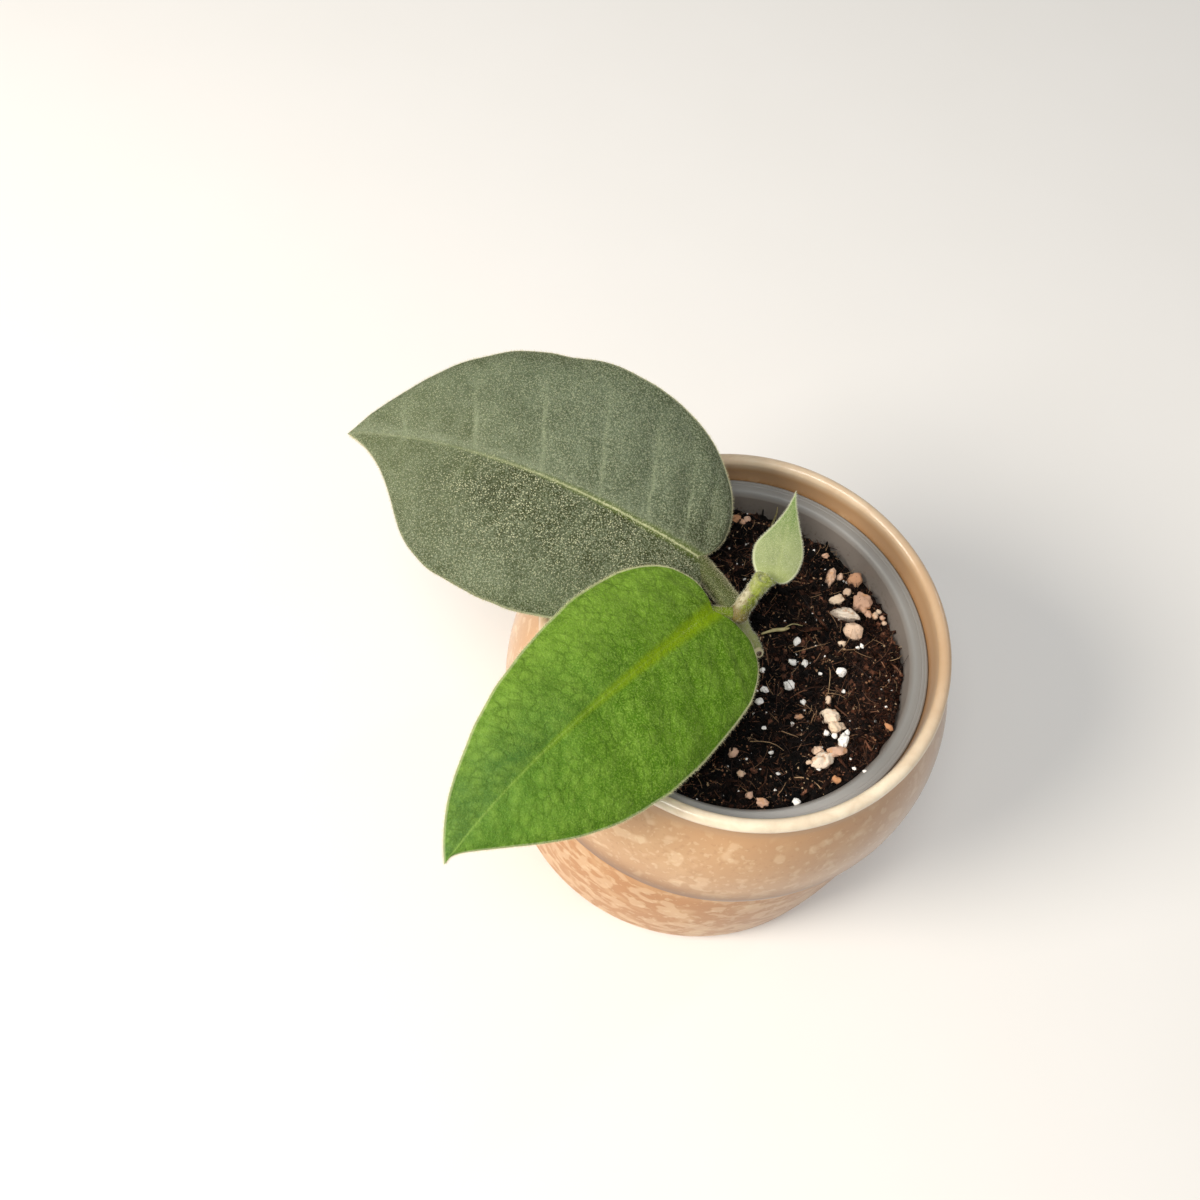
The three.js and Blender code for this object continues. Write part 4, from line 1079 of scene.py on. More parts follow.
greenLeaf = {
    "base": (-9.6, -1.8, 105), "heading": -125, "hook": 6.5, "rise": 17, "droop": 46, "droopPower": 2,
    "roll": -15,
    "length": 85.5, "fold": 6, "camber": 4, "wave": 0.5, "waveLength": 27, "curl": 0.7, "wobble": 0.35,
    "thickness": 1.1, "edge": 0.7, "veinPairs": 7, "veinLean": 0.35, "veinRelief": 0.45,
    "groove": (0.35, 1.7), "petiole": 1.5, "rib": 1.3,
    "left": (12, 19.7, 31.3, 24.6, 20.8, 40.4, 7.4, -1.5),
    "right": (5.3, 12.2, 22.8, 20.6, 14.8, 17.2, 16.7, 15.1),
    "rows": 150, "columns": 32,
    "tones": {
        "deep": "#427000", "light": "#69931e", "tip": "#567a44", "base": "#425c00", "near": "#446b06",
        "far": "#82a93a", "side": "#5a8612", "cell": "#90b348", "net": "#345604", "dot": "#86ac4c",
        "vein": "#44690e", "band": "#7a9804", "line": "#9dbb5c", "edge": "#e4e6b6", "back": "#7f9c4c",
        "backLight": "#97b066",
    },
    "look": {
        "quilt": 2.2, "cells": 0.33, "net": 0.4, "grain": 0.42, "flecks": 0.65, "tipFlecks": 0.2,
        "dots": 0.15, "nearDots": 0.15, "tipFrom": 0.4, "tipShare": 0.65, "baseShare": 0.7,
        "litFarShare": 0.7, "shadedSideShare": 0.4, "shadedNearShare": 0.3, "nearReach": 1.6, "haloShare": 0.0,
        "marginShadeShare": 0.25, "edgeShare": 0.3, "veinWidth": 0.05, "nearVeins": 0.3, "farVeins": 0.25,
        "bandWidth": 3.1, "band": 0.92, "lineWidth": 0.35, "line": 0.45, "baseLine": 0.3,
        "tipLine": 0.9, "dome": 0.8, "relief": 0.34, "roughness": 0.4, "gloss": 0.15, "sheen": 0.02,
    },
    "down": {
        "density": 2.5, "length": 0.3, "width": 0.035, "lean": 1.1, "underShare": 0.8, "fringe": 30,
        "fringeLength": 0.6,
    },
}

youngLeaf = {
    "base": (2.8, 6.4, 110), "heading": 88.5, "hook": 0, "rise": 38, "droop": 10, "droopPower": 1,
    "roll": 0,
    "length": 20.6, "fold": 4, "camber": 1.4, "wave": 0, "waveLength": 20, "curl": 0.2, "wobble": 0.1,
    "thickness": 0.8, "edge": 0.6, "veinPairs": 4, "veinLean": 0.3, "veinRelief": 0.03,
    "groove": (0.03, 0.5), "petiole": 0.9, "rib": 0.7,
    "left": (1.7, 3.4, 6.2, 6.2, 4.4, 3.4, 8.5, 1.4),
    "right": (1.5, 2.2, 5.6, 5, 4.4, 4, 7, 1.6),
    "rows": 64, "columns": 20,
    "tones": {
        "deep": "#828f60", "light": "#9aa674", "tip": "#4f7522", "base": "#a9b565", "near": "#8d9a62",
        "far": "#849162", "side": "#8d9a62", "cell": "#b2bb8a", "net": "#87935c", "dot": "#c3cb9c",
        "vein": "#9aa56c", "band": "#aab47c", "line": "#a3ae72", "edge": "#d6dbb8", "back": "#98a474",
        "backLight": "#a8b485",
    },
    "look": {
        "quilt": 1.6, "cells": 0.15, "net": 0.08, "grain": 0.2, "flecks": 0.35, "tipFlecks": 0.35,
        "dots": 0.3, "nearDots": 0.3, "tipFrom": 0.5, "tipShare": 0.9, "baseShare": 0.75,
        "litFarShare": 0.4, "shadedSideShare": 0.1, "shadedNearShare": 0.2, "nearReach": 0.8, "haloShare": 0.0,
        "marginShadeShare": 0.2, "edgeShare": 0.4, "veinWidth": 0.05, "nearVeins": 0.1, "farVeins": 0.1,
        "bandWidth": 0.9, "band": 0.4, "lineWidth": 0.3, "line": 0.1, "baseLine": 1.0, "tipLine": 0.2,
        "dome": 0.3, "relief": 0.05, "roughness": 0.6, "gloss": 0.3, "sheen": 0.2,
    },
    "down": {
        "density": 16, "length": 0.3, "width": 0.045, "lean": 0.9, "underShare": 1.0, "fringe": 34,
        "fringeLength": 0.42,
    },
}

stem = {
    "soilLine": (4.7, 0, 84.5), "buriedEnd": (8, -1, 62), "node": (-3.5, 0.3, 102.5),
    "shootTip": (-0.3, 4.1, 114),
    "radius": 1.5, "nodeRadius": 2.5, "shootRadius": 2.1, "collarRadius": 2.3,
    "scarFrom": (3.9, -0.3, 87.3), "scarTo": (4.6, -1.9, 88.6), "scarRadius": 1.4,
    "skinStep": 0.16,  # how fine the melted skin is
    "down": {"density": 9, "length": 0.5, "width": 0.045, "lean": 0.5, "above": 86, "seed": 12},
    "tones": (("#56641a", "#98a43a"), ("#7d6c38", "#f0e8cc")),  # green and buff, deep and pale; the buff side is partly a painted highlight
    "bands": (  # tones along it: from height, to height, share, deep, light
        # the second band, pale grey green below the node, is partly painted light
        (108.0, 104.2, 0.85, "#4f4116", "#94803e"), (102.0, 99.0, 1.0, "#8a9848", "#cdd396"),
        (110.8, 111.8, 0.7, "#7f9326", "#c3cc6a"), (89.0, 87.2, 0.85, "#4a3527", "#9a8768"),
    ),
    "cut": ((1.7, 0.4, "#ddd3ae"), (0.95, 0.4, "#4d3322")),  # rings on the stub: reach, softness, tone
}

stalkDown = {"density": 18, "length": 0.55, "lean": 0.5}
midribSteps = 60
veinSpread = 0.694  # side veins stand closer together towards the petiole
fringeReach, fringeLean = 0.3, 0.7  # how far in from the margin the fringe grows, in mm
leafScatter = (0.0008, 0.0012, 0.0004)  # how far red, green and blue light goes inside a leaf, in metres


def leafFrame(leaf, u):
    heading = math.radians(leaf["heading"] + leaf["hook"] * u ** 3)
    rise = math.radians(leaf["rise"] - leaf["droop"] * u ** leaf["droopPower"])
    roll = math.radians(leaf["roll"])
    along = Vector((math.cos(rise) * math.cos(heading), math.cos(rise) * math.sin(heading), math.sin(rise)))
    level = Vector((-math.sin(heading), math.cos(heading), 0))
    side = level * math.cos(roll) + along.cross(level) * math.sin(roll)
    return along, side, along.cross(side)


def midribPoints(leaf):
    points = [Vector(leaf["base"])]
    for i in range(midribSteps):
        along = leafFrame(leaf, (i + 0.5) / midribSteps)[0]
        points.append(points[-1] + along * leaf["length"] / midribSteps)
    return points


def bladePoint(leaf, ribPoints, x, y, h):
    u = clamp(x / leaf["length"])
    step = min(int(u * midribSteps), midribSteps - 1)
    along, side, normal = leafFrame(leaf, u)
    centre = ribPoints[step].lerp(ribPoints[step + 1], u * midribSteps - step)
    return centre + along * min(x, 0) + side * y + normal * h


def marginPoint(leaf, half, s):
    lobe, shoulder, widestAt, width, rounding, flank, tip, tipWidth = half
    if s < 0.5:
        t = 2 * s
        bends = [(0, 0), (-lobe, shoulder), (widestAt - rounding, width), (widestAt, width)]
    else:
        t = 2 * s - 1
        end = leaf["length"]
        bends = [(widestAt, width), (widestAt + flank, width), (end - tip, tipWidth), (end, 0)]
    shares = ((1 - t) ** 3, 3 * t * (1 - t) ** 2, 3 * t * t * (1 - t), t ** 3)
    return [sum(share * bend[k] for share, bend in zip(shares, bends)) for k in (0, 1)]


def bladeHeight(leaf, x, y, s, v):
    widest = max(leaf["left"][3], leaf["right"][3])
    out = (y / widest) ** 2
    fold = (math.hypot(y, 2) - 2) * math.tan(math.radians(leaf["fold"]))
    wave = leaf["wave"] * math.sin(2 * math.pi * x / leaf["waveLength"] + (0 if y > 0 else 1.3))
    # the blade swells between its side veins, which lean towards the tip
    start = max(0, x - leaf["veinLean"] * abs(y)) / leaf["length"]
    between = 0.5 - 0.5 * math.cos(2 * math.pi * start ** veinSpread * leaf["veinPairs"])
    swelling = leaf["veinRelief"] * between ** 0.6 * math.sin(math.pi * v)
    swelling *= clamp(4 * s)
    swelling *= clamp(5 * (1 - s))
    # slow dents all over, and a margin that turns down unevenly
    dents = 0.45 * noise.noise(Vector((x / 8, y / 8, leaf["length"])))
    dents += 0.12 * noise.noise(Vector((x / 3, y / 3, 5)))
    turned = 0.55 + 0.9 * noise.noise(Vector((x / 16, 3 if y > 0 else 8, leaf["length"])))
    curl = leaf["curl"] * max(0, turned) * clamp((v - 0.78) / 0.22) ** 2
    small = leaf["length"] / 90
    return fold - leaf["camber"] * out + wave * out + swelling + (dents - curl) * min(1, small * 1.2)


def bladeMesh(leaf, name):
    # upper and lower skin in one closed mesh; u runs from petiole to tip, v from midrib to margin
    rows, columns = leaf["rows"], leaf["columns"]
    depth, halfWidth = leaf["groove"]
    ribPoints = midribPoints(leaf)
    points, places, under, inward = [], [], [], []
    for face in (0.5, -0.5):
        for row in range(rows + 1):
            s = mix(row / rows, 0.5 - 0.5 * math.cos(math.pi * row / rows), 0.5)
            for k in range(-columns, columns + 1):
                v = math.sin(0.5 * math.pi * abs(k) / columns) ** 0.9
                edgeX, edgeY = marginPoint(leaf, leaf["left"] if k > 0 else leaf["right"], s)
                wobble = noise.noise(Vector((edgeX / 6, 4 if k > 0 else 9, leaf["length"])))
                edgeY += leaf["wobble"] * wobble * clamp(6 * s) * clamp(6 * (1 - s))
                x, y = mix(leaf["length"] * s ** 1.7, edgeX, v), math.copysign(edgeY * v, k)
                thin = mix(leaf["thickness"], leaf["edge"], v ** 3)
                thin *= 1 - 0.6 * clamp((v - 0.97) / 0.03) ** 2
                h = bladeHeight(leaf, x, y, s, v) + face * thin
                if face > 0:
                    h -= depth * math.exp(-(y / halfWidth) ** 2) * clamp(12 * (1 - s)) * (1.2 - s)
                else:
                    h -= 0.55 * leaf["rib"] * math.exp(-(y / (0.9 + 1.3 * (1 - s))) ** 2) * (1 - 0.8 * s)
                points.append(bladePoint(leaf, ribPoints, x, y, h) * mm)
                places.append((s, math.copysign(v, k), x, y))
                under.append(0.0 if face > 0 else 1.0)
                inward.append(math.hypot(edgeX - x, edgeY - abs(y)))
    across = 2 * columns + 1
    layer = (rows + 1) * across
    faces = []
    for row in range(rows):
        for k in range(across - 1):
            a, b = row * across + k, (row + 1) * across + k
            faces.append((a, b, b + 1, a + 1))
            faces.append((layer + a, layer + a + 1, layer + b + 1, layer + b))
        for k, turned in ((0, False), (across - 1, True)):
            a, b = row * across + k, (row + 1) * across + k
            faces.append((a, b, layer + b, layer + a) if turned else (a, layer + a, layer + b, b))
    mesh = meshFrom(name, points, faces)
    shares = mesh.uv_layers.new(name="bladeUV")  # share of the length, and from -1 to 1 across
    flat = mesh.uv_layers.new(name="bladeFlat")  # the blade laid flat, in millimetres
    for loop in mesh.loops:
        s, v, x, y = places[loop.vertex_index]
        shares.data[loop.index].uv = (s, v)
        flat.data[loop.index].uv = (x, y)
    storeValues(mesh, "under", under)
    storeValues(mesh, "inward", inward)  # how far in from the margin, in millimetres
    return closeMesh(mesh)


def closeMesh(mesh):
    # the rows run together at the petiole and the tip
    body = bmesh.new()
    body.from_mesh(mesh)
    bmesh.ops.remove_doubles(body, verts=body.verts, dist=1e-6)
    bmesh.ops.dissolve_degenerate(body, edges=body.edges, dist=1e-7)
    bmesh.ops.recalc_face_normals(body, faces=body.faces)
    body.to_mesh(mesh)
    body.free()
    return mesh


def seatOn(centre, radius, leaf):
    # a petiole's foot, just inside the skin of what it grows from
    towards = (Vector(leaf["base"]) - centre).normalized()
    return centre + towards * (radius - 0.6)


def petioleMesh(leaf, seat, name):
    # the stalk, which passes under the blade and runs on along the midrib
    ribPoints = midribPoints(leaf)
    girths = [leaf["petiole"], 0.95 * leaf["petiole"],
        *[share * leaf["rib"] for share in (1.1, 0.8, 0.6, 0.45, 0.3)]]
    sunk = [bladePoint(leaf, ribPoints, share * leaf["length"], 0, -0.35 * leaf["thickness"] - 0.8 * girth)
            for share, girth in zip((0.0, 0.12, 0.4, 0.7, 0.94), girths[2:])]
    path = [seat, seat.lerp(sunk[0], 0.5), *sunk]
    return barMesh(name, path, girths, 90, 24)


def leafTissue(name, leaf):
    # live leaf under its down: see-through tissue, veins and their net in their own tones, satin cuticle
    tones, look = leaf["tones"], leaf["look"]
    material, tree = newMaterial(name)
    place = patternPlace(tree)
    flat = addNode(tree, "ShaderNodeUVMap", uv_map="bladeFlat")
    shares = addNode(tree, "ShaderNodeSeparateXYZ", {0: addNode(tree, "ShaderNodeUVMap", uv_map="bladeUV")})
    inPlane = addNode(tree, "ShaderNodeSeparateXYZ", {0: flat})
    along = shares.outputs["X"]
    across = addNode(tree, "ShaderNodeMath", {0: shares.outputs["Y"]}, operation="ABSOLUTE")
    offRib = addNode(tree, "ShaderNodeMath", {0: inPlane.outputs["Y"]}, operation="ABSOLUTE")
    nearHalf = addNode(tree, "ShaderNodeMapRange", {
        "Value": inPlane.outputs["Y"], "From Min": -1.0, "From Max": 1.0})
    broad = addNode(tree, "ShaderNodeTexNoise", {"Vector": flat, "Scale": 1 / 13, "Detail": 3.0})
    wander = addNode(tree, "ShaderNodeTexNoise", {"Vector": flat, "Scale": 1 / 5, "Detail": 3.0})
    fine = addNode(tree, "ShaderNodeTexNoise", {
        "Vector": place, "Scale": 1 / 1.1, "Detail": 5.0, "Roughness": 0.65})
    # side veins: lines that leave the midrib at even steps and lean towards the tip
    leaned = addNode(tree, "ShaderNodeMath", {
        0: offRib, 1: -leaf["veinLean"], 2: inPlane.outputs["X"]}, operation="MULTIPLY_ADD")
    start = addNode(tree, "ShaderNodeMath", {0: wander, 1: 1.8, 2: leaned}, operation="MULTIPLY_ADD")
    part = addNode(tree, "ShaderNodeMath", {0: start, 1: 1 / leaf["length"]}, operation="MULTIPLY")
    above = addNode(tree, "ShaderNodeMath", {0: part, 1: 0.0001}, operation="MAXIMUM")
    order = addNode(tree, "ShaderNodeMath", {0: above, 1: veinSpread}, operation="POWER")
    repeat = addNode(tree, "ShaderNodeMath", {0: order, 1: float(leaf["veinPairs"])}, operation="MULTIPLY")
    offVein = addNode(tree, "ShaderNodeMath", {0: repeat, 1: 0.5}, operation="PINGPONG")
    line = addNode(tree, "ShaderNodeMapRange", {
        "Value": offVein, "From Min": look["veinWidth"], "From Max": 0.0}, interpolation_type="SMOOTHSTEP")
    strength = addNode(tree, "ShaderNodeMapRange", {
        "Value": nearHalf, "To Min": look["farVeins"], "To Max": look["nearVeins"]})
    fade = addNode(tree, "ShaderNodeMapRange", {
        "Value": across, "From Min": 0.95, "From Max": 0.3}, interpolation_type="SMOOTHSTEP")
    uneven = addNode(tree, "ShaderNodeMapRange", {
        "Value": addNode(tree, "ShaderNodeTexNoise", {
            "Vector": flat, "Scale": 1 / 3, "Detail": 4.0, "Roughness": 0.7}),
        "From Min": 0.35, "From Max": 0.62, "To Min": 0.25})
    fromPetiole = addNode(tree, "ShaderNodeMapRange", {"Value": along, "From Min": 0.06, "From Max": 0.26})
    reach = addNode(tree, "ShaderNodeMath", {
        0: addNode(tree, "ShaderNodeMath", {0: fade, 1: uneven}, operation="MULTIPLY"), 1: fromPetiole},
        operation="MULTIPLY")
    vein = addNode(tree, "ShaderNodeMath", {
        0: addNode(tree, "ShaderNodeMath", {0: line, 1: strength}, operation="MULTIPLY"), 1: reach},
        operation="MULTIPLY")
    # the quilting and its net of fine lines, drawn out along the side veins
    spun = addNode(tree, "ShaderNodeVectorMath", {
        0: wander.outputs["Color"], 1: (1.0, 1.0, 0.0)}, operation="MULTIPLY")
    onVeins = addNode(tree, "ShaderNodeCombineXYZ", {
        0: addNode(tree, "ShaderNodeMath", {0: leaned, 1: 1 / look["quilt"]}, operation="MULTIPLY"),
        1: addNode(tree, "ShaderNodeMath", {
            0: inPlane.outputs["Y"], 1: 0.8 / look["quilt"]}, operation="MULTIPLY")})
    quiltPlace = addNode(tree, "ShaderNodeVectorMath", {0: onVeins, 1: spun}, operation="ADD")
    cells = addNode(tree, "ShaderNodeTexVoronoi", {"Vector": quiltPlace, "Scale": 1.0}, feature="SMOOTH_F1")
    net = addNode(tree, "ShaderNodeTexVoronoi", {
        "Vector": quiltPlace, "Scale": 1.0}, feature="DISTANCE_TO_EDGE")
    netLine = addNode(tree, "ShaderNodeMapRange", {
        "Value": net, "From Min": 0.16, "From Max": 0.0}, interpolation_type="SMOOTHSTEP")
    broken = addNode(tree, "ShaderNodeMapRange", {
        "Value": wander, "From Min": 0.38, "From Max": 0.62, "To Max": look["net"]})
    netShare = addNode(tree, "ShaderNodeMath", {0: netLine, 1: broken}, operation="MULTIPLY")
    # ground tones in patches, along the length, and beside the midrib, with painted light and shade on the
    # halves and the margin
    cloudy = addNode(tree, "ShaderNodeMix", {0: 0.45, 2: broad, 3: wander})
    mottled = addNode(tree, "ShaderNodeMapRange", {"Value": cloudy, "From Min": 0.36, "From Max": 0.62})
    litFarHalf = addNode(tree, "ShaderNodeMapRange", {
        "Value": inPlane.outputs["Y"], "From Min": -3.0, "From Max": -18.0})
    closeBy = addNode(tree, "ShaderNodeMapRange", {
        "Value": across, "From Min": look["nearReach"], "From Max": 0.2}, interpolation_type="SMOOTHSTEP")
    backHalf = addNode(tree, "ShaderNodeMapRange", {
        "Value": along, "From Min": 0.88, "From Max": 0.62}, interpolation_type="SMOOTHSTEP")
    ribSide = addNode(tree, "ShaderNodeMath", {
        0: addNode(tree, "ShaderNodeMath", {0: nearHalf, 1: closeBy}, operation="MULTIPLY"), 1: backHalf},
        operation="MULTIPLY")
    patchy = addNode(tree, "ShaderNodeMapRange", {
        "Value": cloudy, "From Min": 0.4, "From Max": 0.56, "To Min": 0.4})
    ribSide = addNode(tree, "ShaderNodeMath", {0: ribSide, 1: patchy}, operation="MULTIPLY")
    paleSide = addNode(tree, "ShaderNodeMapRange", {
        "Value": inPlane.outputs["Y"], "From Min": -3.5, "From Max": -0.4})
    besideRib = addNode(tree, "ShaderNodeMath", {0: paleSide, 1: addNode(
        tree, "ShaderNodeMath", {0: 1.0, 1: nearHalf}, operation="SUBTRACT")}, operation="MULTIPLY")
    ground = [
        # the tip in a tone of its own; on the green leaf its greyer tone is partly a painted sheen
        (along, look["tipFrom"], 1.0, look["tipShare"], tones["tip"]),
        # darker towards the petiole; on the grey leaf partly painted shade on its basal lobe
        (along, 0.44, 0.14, look["baseShare"], tones["base"]),
        # painted light and shade: the far half lighter, the near half in a darker tone
        (litFarHalf, 0.0, 1.0, look["litFarShare"], tones["far"]),
        (nearHalf, 0.0, 1.0, look["shadedSideShare"], tones["side"]),
        (besideRib, 0.0, 1.0, look["haloShare"], tones["cell"]),
        # painted shade: the near half darker beside the midrib
        (ribSide, 0.0, 1.0, look["shadedNearShare"], tones["near"]),
        # painted shade: a darker band inside the margin, where it turns down
        (across, 0.84, 0.96, look["marginShadeShare"], tones["net"]),
    ]
    layers = [(mottled, tones["light"])]
    for value, low, high, most, tone in ground:
        share = addNode(tree, "ShaderNodeMapRange", {
            "Value": value, "From Min": low, "From Max": high, "To Max": most},
            interpolation_type="SMOOTHSTEP")
        layers.append((share, tone))
    # cells paler in the middle, grain, net and veins
    middle = addNode(tree, "ShaderNodeMapRange", {
        "Value": cells.outputs["Distance"], "From Min": 0.6, "From Max": 0.1, "To Max": look["cells"]})
    grain = addNode(tree, "ShaderNodeMapRange", {
        "Value": fine, "From Min": 0.4, "From Max": 0.75, "To Max": look["grain"]})
    # flecks a third of a millimetre across, where cells of the skin catch the light
    skin = addNode(tree, "ShaderNodeTexNoise", {
        "Vector": place, "Scale": 1 / 0.42, "Detail": 2.0, "Roughness": 0.7})
    calm = addNode(tree, "ShaderNodeMapRange", {
        "Value": along, "From Min": 0.55, "From Max": 0.8, "To Min": look["flecks"],
        "To Max": look["tipFlecks"]})
    fleck = addNode(tree, "ShaderNodeMapRange", {
        "Value": skin, "From Min": 0.48, "From Max": 0.64, "To Max": calm})
    # the midrib: a soft band at the petiole that narrows to a line
    bandWidth = addNode(tree, "ShaderNodeMapRange", {
        "Value": along, "From Max": 0.8, "To Min": look["bandWidth"], "To Max": 0.8})
    bandReach = addNode(tree, "ShaderNodeMath", {
        0: addNode(tree, "ShaderNodeMath", {0: wander, 1: 0.8, 2: offRib}, operation="MULTIPLY_ADD"),
        1: bandWidth}, operation="DIVIDE")
    band = addNode(tree, "ShaderNodeMapRange", {
        "Value": bandReach, "From Min": 1.4, "From Max": 0.5}, interpolation_type="SMOOTHSTEP")
    bandFade = addNode(tree, "ShaderNodeMapRange", {
        "Value": along, "From Min": 0.92, "From Max": 0.5, "To Max": look["band"]})
    bandShare = addNode(tree, "ShaderNodeMath", {0: band, 1: bandFade}, operation="MULTIPLY")
    fuzzy = addNode(tree, "ShaderNodeMath", {0: skin, 1: 1.2, 2: offRib}, operation="MULTIPLY_ADD")
    core = addNode(tree, "ShaderNodeMapRange", {
        "Value": fuzzy, "From Min": look["lineWidth"] + 0.6, "From Max": 0.5, "To Max": look["line"]},
        interpolation_type="SMOOTHSTEP")
    coreFade = addNode(tree, "ShaderNodeMapRange", {
        "Value": along, "From Min": 0.8, "From Max": 0.45, "To Min": look["tipLine"],
        "To Max": look["baseLine"]})
    coreShare = addNode(tree, "ShaderNodeMath", {0: core, 1: coreFade}, operation="MULTIPLY")
    # hair roots as pale dots, 0.45 mm apart, strongest beside the midrib on the near half
    roots = addNode(tree, "ShaderNodeTexVoronoi", {"Vector": place, "Scale": 1 / 0.45})
    dot = addNode(tree, "ShaderNodeMapRange", {
        "Value": roots.outputs["Distance"], "From Min": 0.4, "From Max": 0.2},
        interpolation_type="SMOOTHSTEP")
    dotShare = addNode(tree, "ShaderNodeMapRange", {
        "Value": ribSide, "To Min": look["dots"], "To Max": look["nearDots"]})
    someHere = addNode(tree, "ShaderNodeMapRange", {"Value": fine, "From Min": 0.3, "From Max": 0.5})
    dotted = addNode(tree, "ShaderNodeMath", {
        0: addNode(tree, "ShaderNodeMath", {0: dot, 1: dotShare}, operation="MULTIPLY"), 1: someHere},
        operation="MULTIPLY")
    # the pale margin, where the fringe grows, broadest by the petiole
    inward = addNode(tree, "ShaderNodeAttribute", attribute_name="inward")
    outside = addNode(tree, "ShaderNodeMapRange", {
        "Value": inward.outputs["Fac"], "From Min": 0.55, "From Max": 0.3})
    byPetiole = addNode(tree, "ShaderNodeMapRange", {
        "Value": along, "From Min": 0.55, "From Max": 0.25, "To Min": look["edgeShare"], "To Max": 0.9})
    edge = addNode(tree, "ShaderNodeMath", {0: outside, 1: byPetiole}, operation="MULTIPLY")
    laid = ((middle, "cell"), (grain, "net"), (fleck, "cell"), (netShare, "net"), (vein, "vein"),
            (bandShare, "band"), (coreShare, "line"), (dotted, "dot"), (edge, "edge"))
    layers += [(share, tones[tone]) for share, tone in laid]
    # the paler underside with its veins
    under = addNode(tree, "ShaderNodeAttribute", attribute_name="under")
    back = tones["back"]
    for share, tone in ((fine, tones["backLight"]), (vein, tones["edge"])):
        back = addNode(tree, "ShaderNodeMix", {0: share, 6: back, 7: tone}, data_type="RGBA").outputs[2]
    layers.append((under.outputs["Fac"], back))
    colour = tones["deep"]
    for share, tone in layers:
        colour = addNode(tree, "ShaderNodeMix", {0: share, 6: colour, 7: tone}, data_type="RGBA").outputs[2]
    dome = addNode(tree, "ShaderNodeMath", {
        0: cells.outputs["Distance"], 1: -look["dome"], 2: fine}, operation="MULTIPLY_ADD")
    lowered = addNode(tree, "ShaderNodeMath", {0: netShare, 1: -0.4, 2: dome}, operation="MULTIPLY_ADD")
    height = addNode(tree, "ShaderNodeMath", {0: skin, 1: 0.5, 2: lowered}, operation="MULTIPLY_ADD")
    finishMaterial(tree, {
        "Base Color": colour, "Roughness": look["roughness"], "IOR": 1.42,
        "Specular IOR Level": look["gloss"], "Sheen Weight": look["sheen"], "Sheen Roughness": 0.5,
        "Sheen Tint": tones["edge"], "Subsurface Weight": 0.1,
        "Subsurface Radius": leafScatter,
    }, height, look["relief"])
    return material


def petioleTissue(name, deep, light, dots):
    # a leaf stalk: green cortex streaked lengthwise under a close grey down
    material, tree = newMaterial(name)
    place = patternPlace(tree)
    streaks = addNode(tree, "ShaderNodeTexNoise", {"Vector": place, "Scale": 1 / 1.6, "Detail": 4.0})
    roots = addNode(tree, "ShaderNodeTexVoronoi", {"Vector": place, "Scale": 1 / 0.5})
    dot = addNode(tree, "ShaderNodeMapRange", {
        "Value": roots.outputs["Distance"], "From Min": 0.4, "From Max": 0.15, "To Max": 0.5})
    colour = deep
    for share, tone in ((streaks, light), (dot, dots)):
        colour = addNode(tree, "ShaderNodeMix", {0: share, 6: colour, 7: tone}, data_type="RGBA").outputs[2]
    finishMaterial(tree, {
        "Base Color": colour, "Roughness": 0.6, "IOR": 1.42, "Specular IOR Level": 0.3,
        "Sheen Weight": 0.2, "Sheen Tint": dots, "Subsurface Weight": 0.1,
        "Subsurface Radius": leafScatter}, streaks, 0.08)
    return material


def plantDown(name, colourLow, colourHigh):
    # plant hairs: clear, colourless cells that read as pale down; drawn several times too thick to show
    material, tree = newMaterial(name)
    draw = addNode(tree, "ShaderNodeTexNoise", {
        "Vector": patternPlace(tree), "Scale": 1 / 0.6, "Detail": 2.0})
    colour = addNode(tree, "ShaderNodeMix", {
        0: draw, 6: colourLow, 7: colourHigh}, data_type="RGBA").outputs[2]
    finishMaterial(tree, {
        "Base Color": colour, "Roughness": 0.5, "Subsurface Weight": 0.3,
        "Subsurface Radius": (0.0005, 0.0005, 0.0005)})
    return material


def downTree():
    # stands hairs on a skin: three-sided spikes, leaning at random, dense where "down" is high
    tree, given, result = newTree("plantDown", [
        ("Density", "Float"), ("Length", "Float"), ("Width", "Float"), ("Lean", "Float"), ("Seed", "Int"),
        ("Finish", "Material")])
    share = addNode(tree, "GeometryNodeInputNamedAttribute", {"Name": "down"}, data_type="FLOAT")
    density = addNode(tree, "ShaderNodeMath", {
        0: given.outputs["Density"], 1: share.outputs["Attribute"]}, operation="MULTIPLY")
    points = addNode(tree, "GeometryNodeDistributePointsOnFaces", {
        "Mesh": given.outputs["Geometry"], "Density": density, "Seed": given.outputs["Seed"]})
    halfWidth = addNode(tree, "ShaderNodeMath", {0: given.outputs["Width"], 1: 0.5}, operation="MULTIPLY")
    spike = addNode(tree, "GeometryNodeMeshCone", {
        "Vertices": 3, "Side Segments": 1, "Radius Top": 0.0, "Radius Bottom": halfWidth,
        "Depth": given.outputs["Length"]})
    lean = addNode(tree, "FunctionNodeEulerToRotation", {0: randomLean(tree, given)})
    turned = addNode(tree, "FunctionNodeRotateRotation", {
        "Rotation": points.outputs["Rotation"], "Rotate By": lean}, rotation_space="LOCAL")
    # no two hairs are as long
    long = addNode(tree, "FunctionNodeRandomValue", {
        2: 0.55, 3: 1.25, "Seed": given.outputs["Seed"]}, data_type="FLOAT")
    placed = addNode(tree, "GeometryNodeInstanceOnPoints", {
        "Points": points.outputs["Points"], "Instance": spike.outputs["Mesh"], "Rotation": turned,
        "Scale": long.outputs[1]})
    endTree(tree, placed, given.outputs["Finish"], result)
    return tree


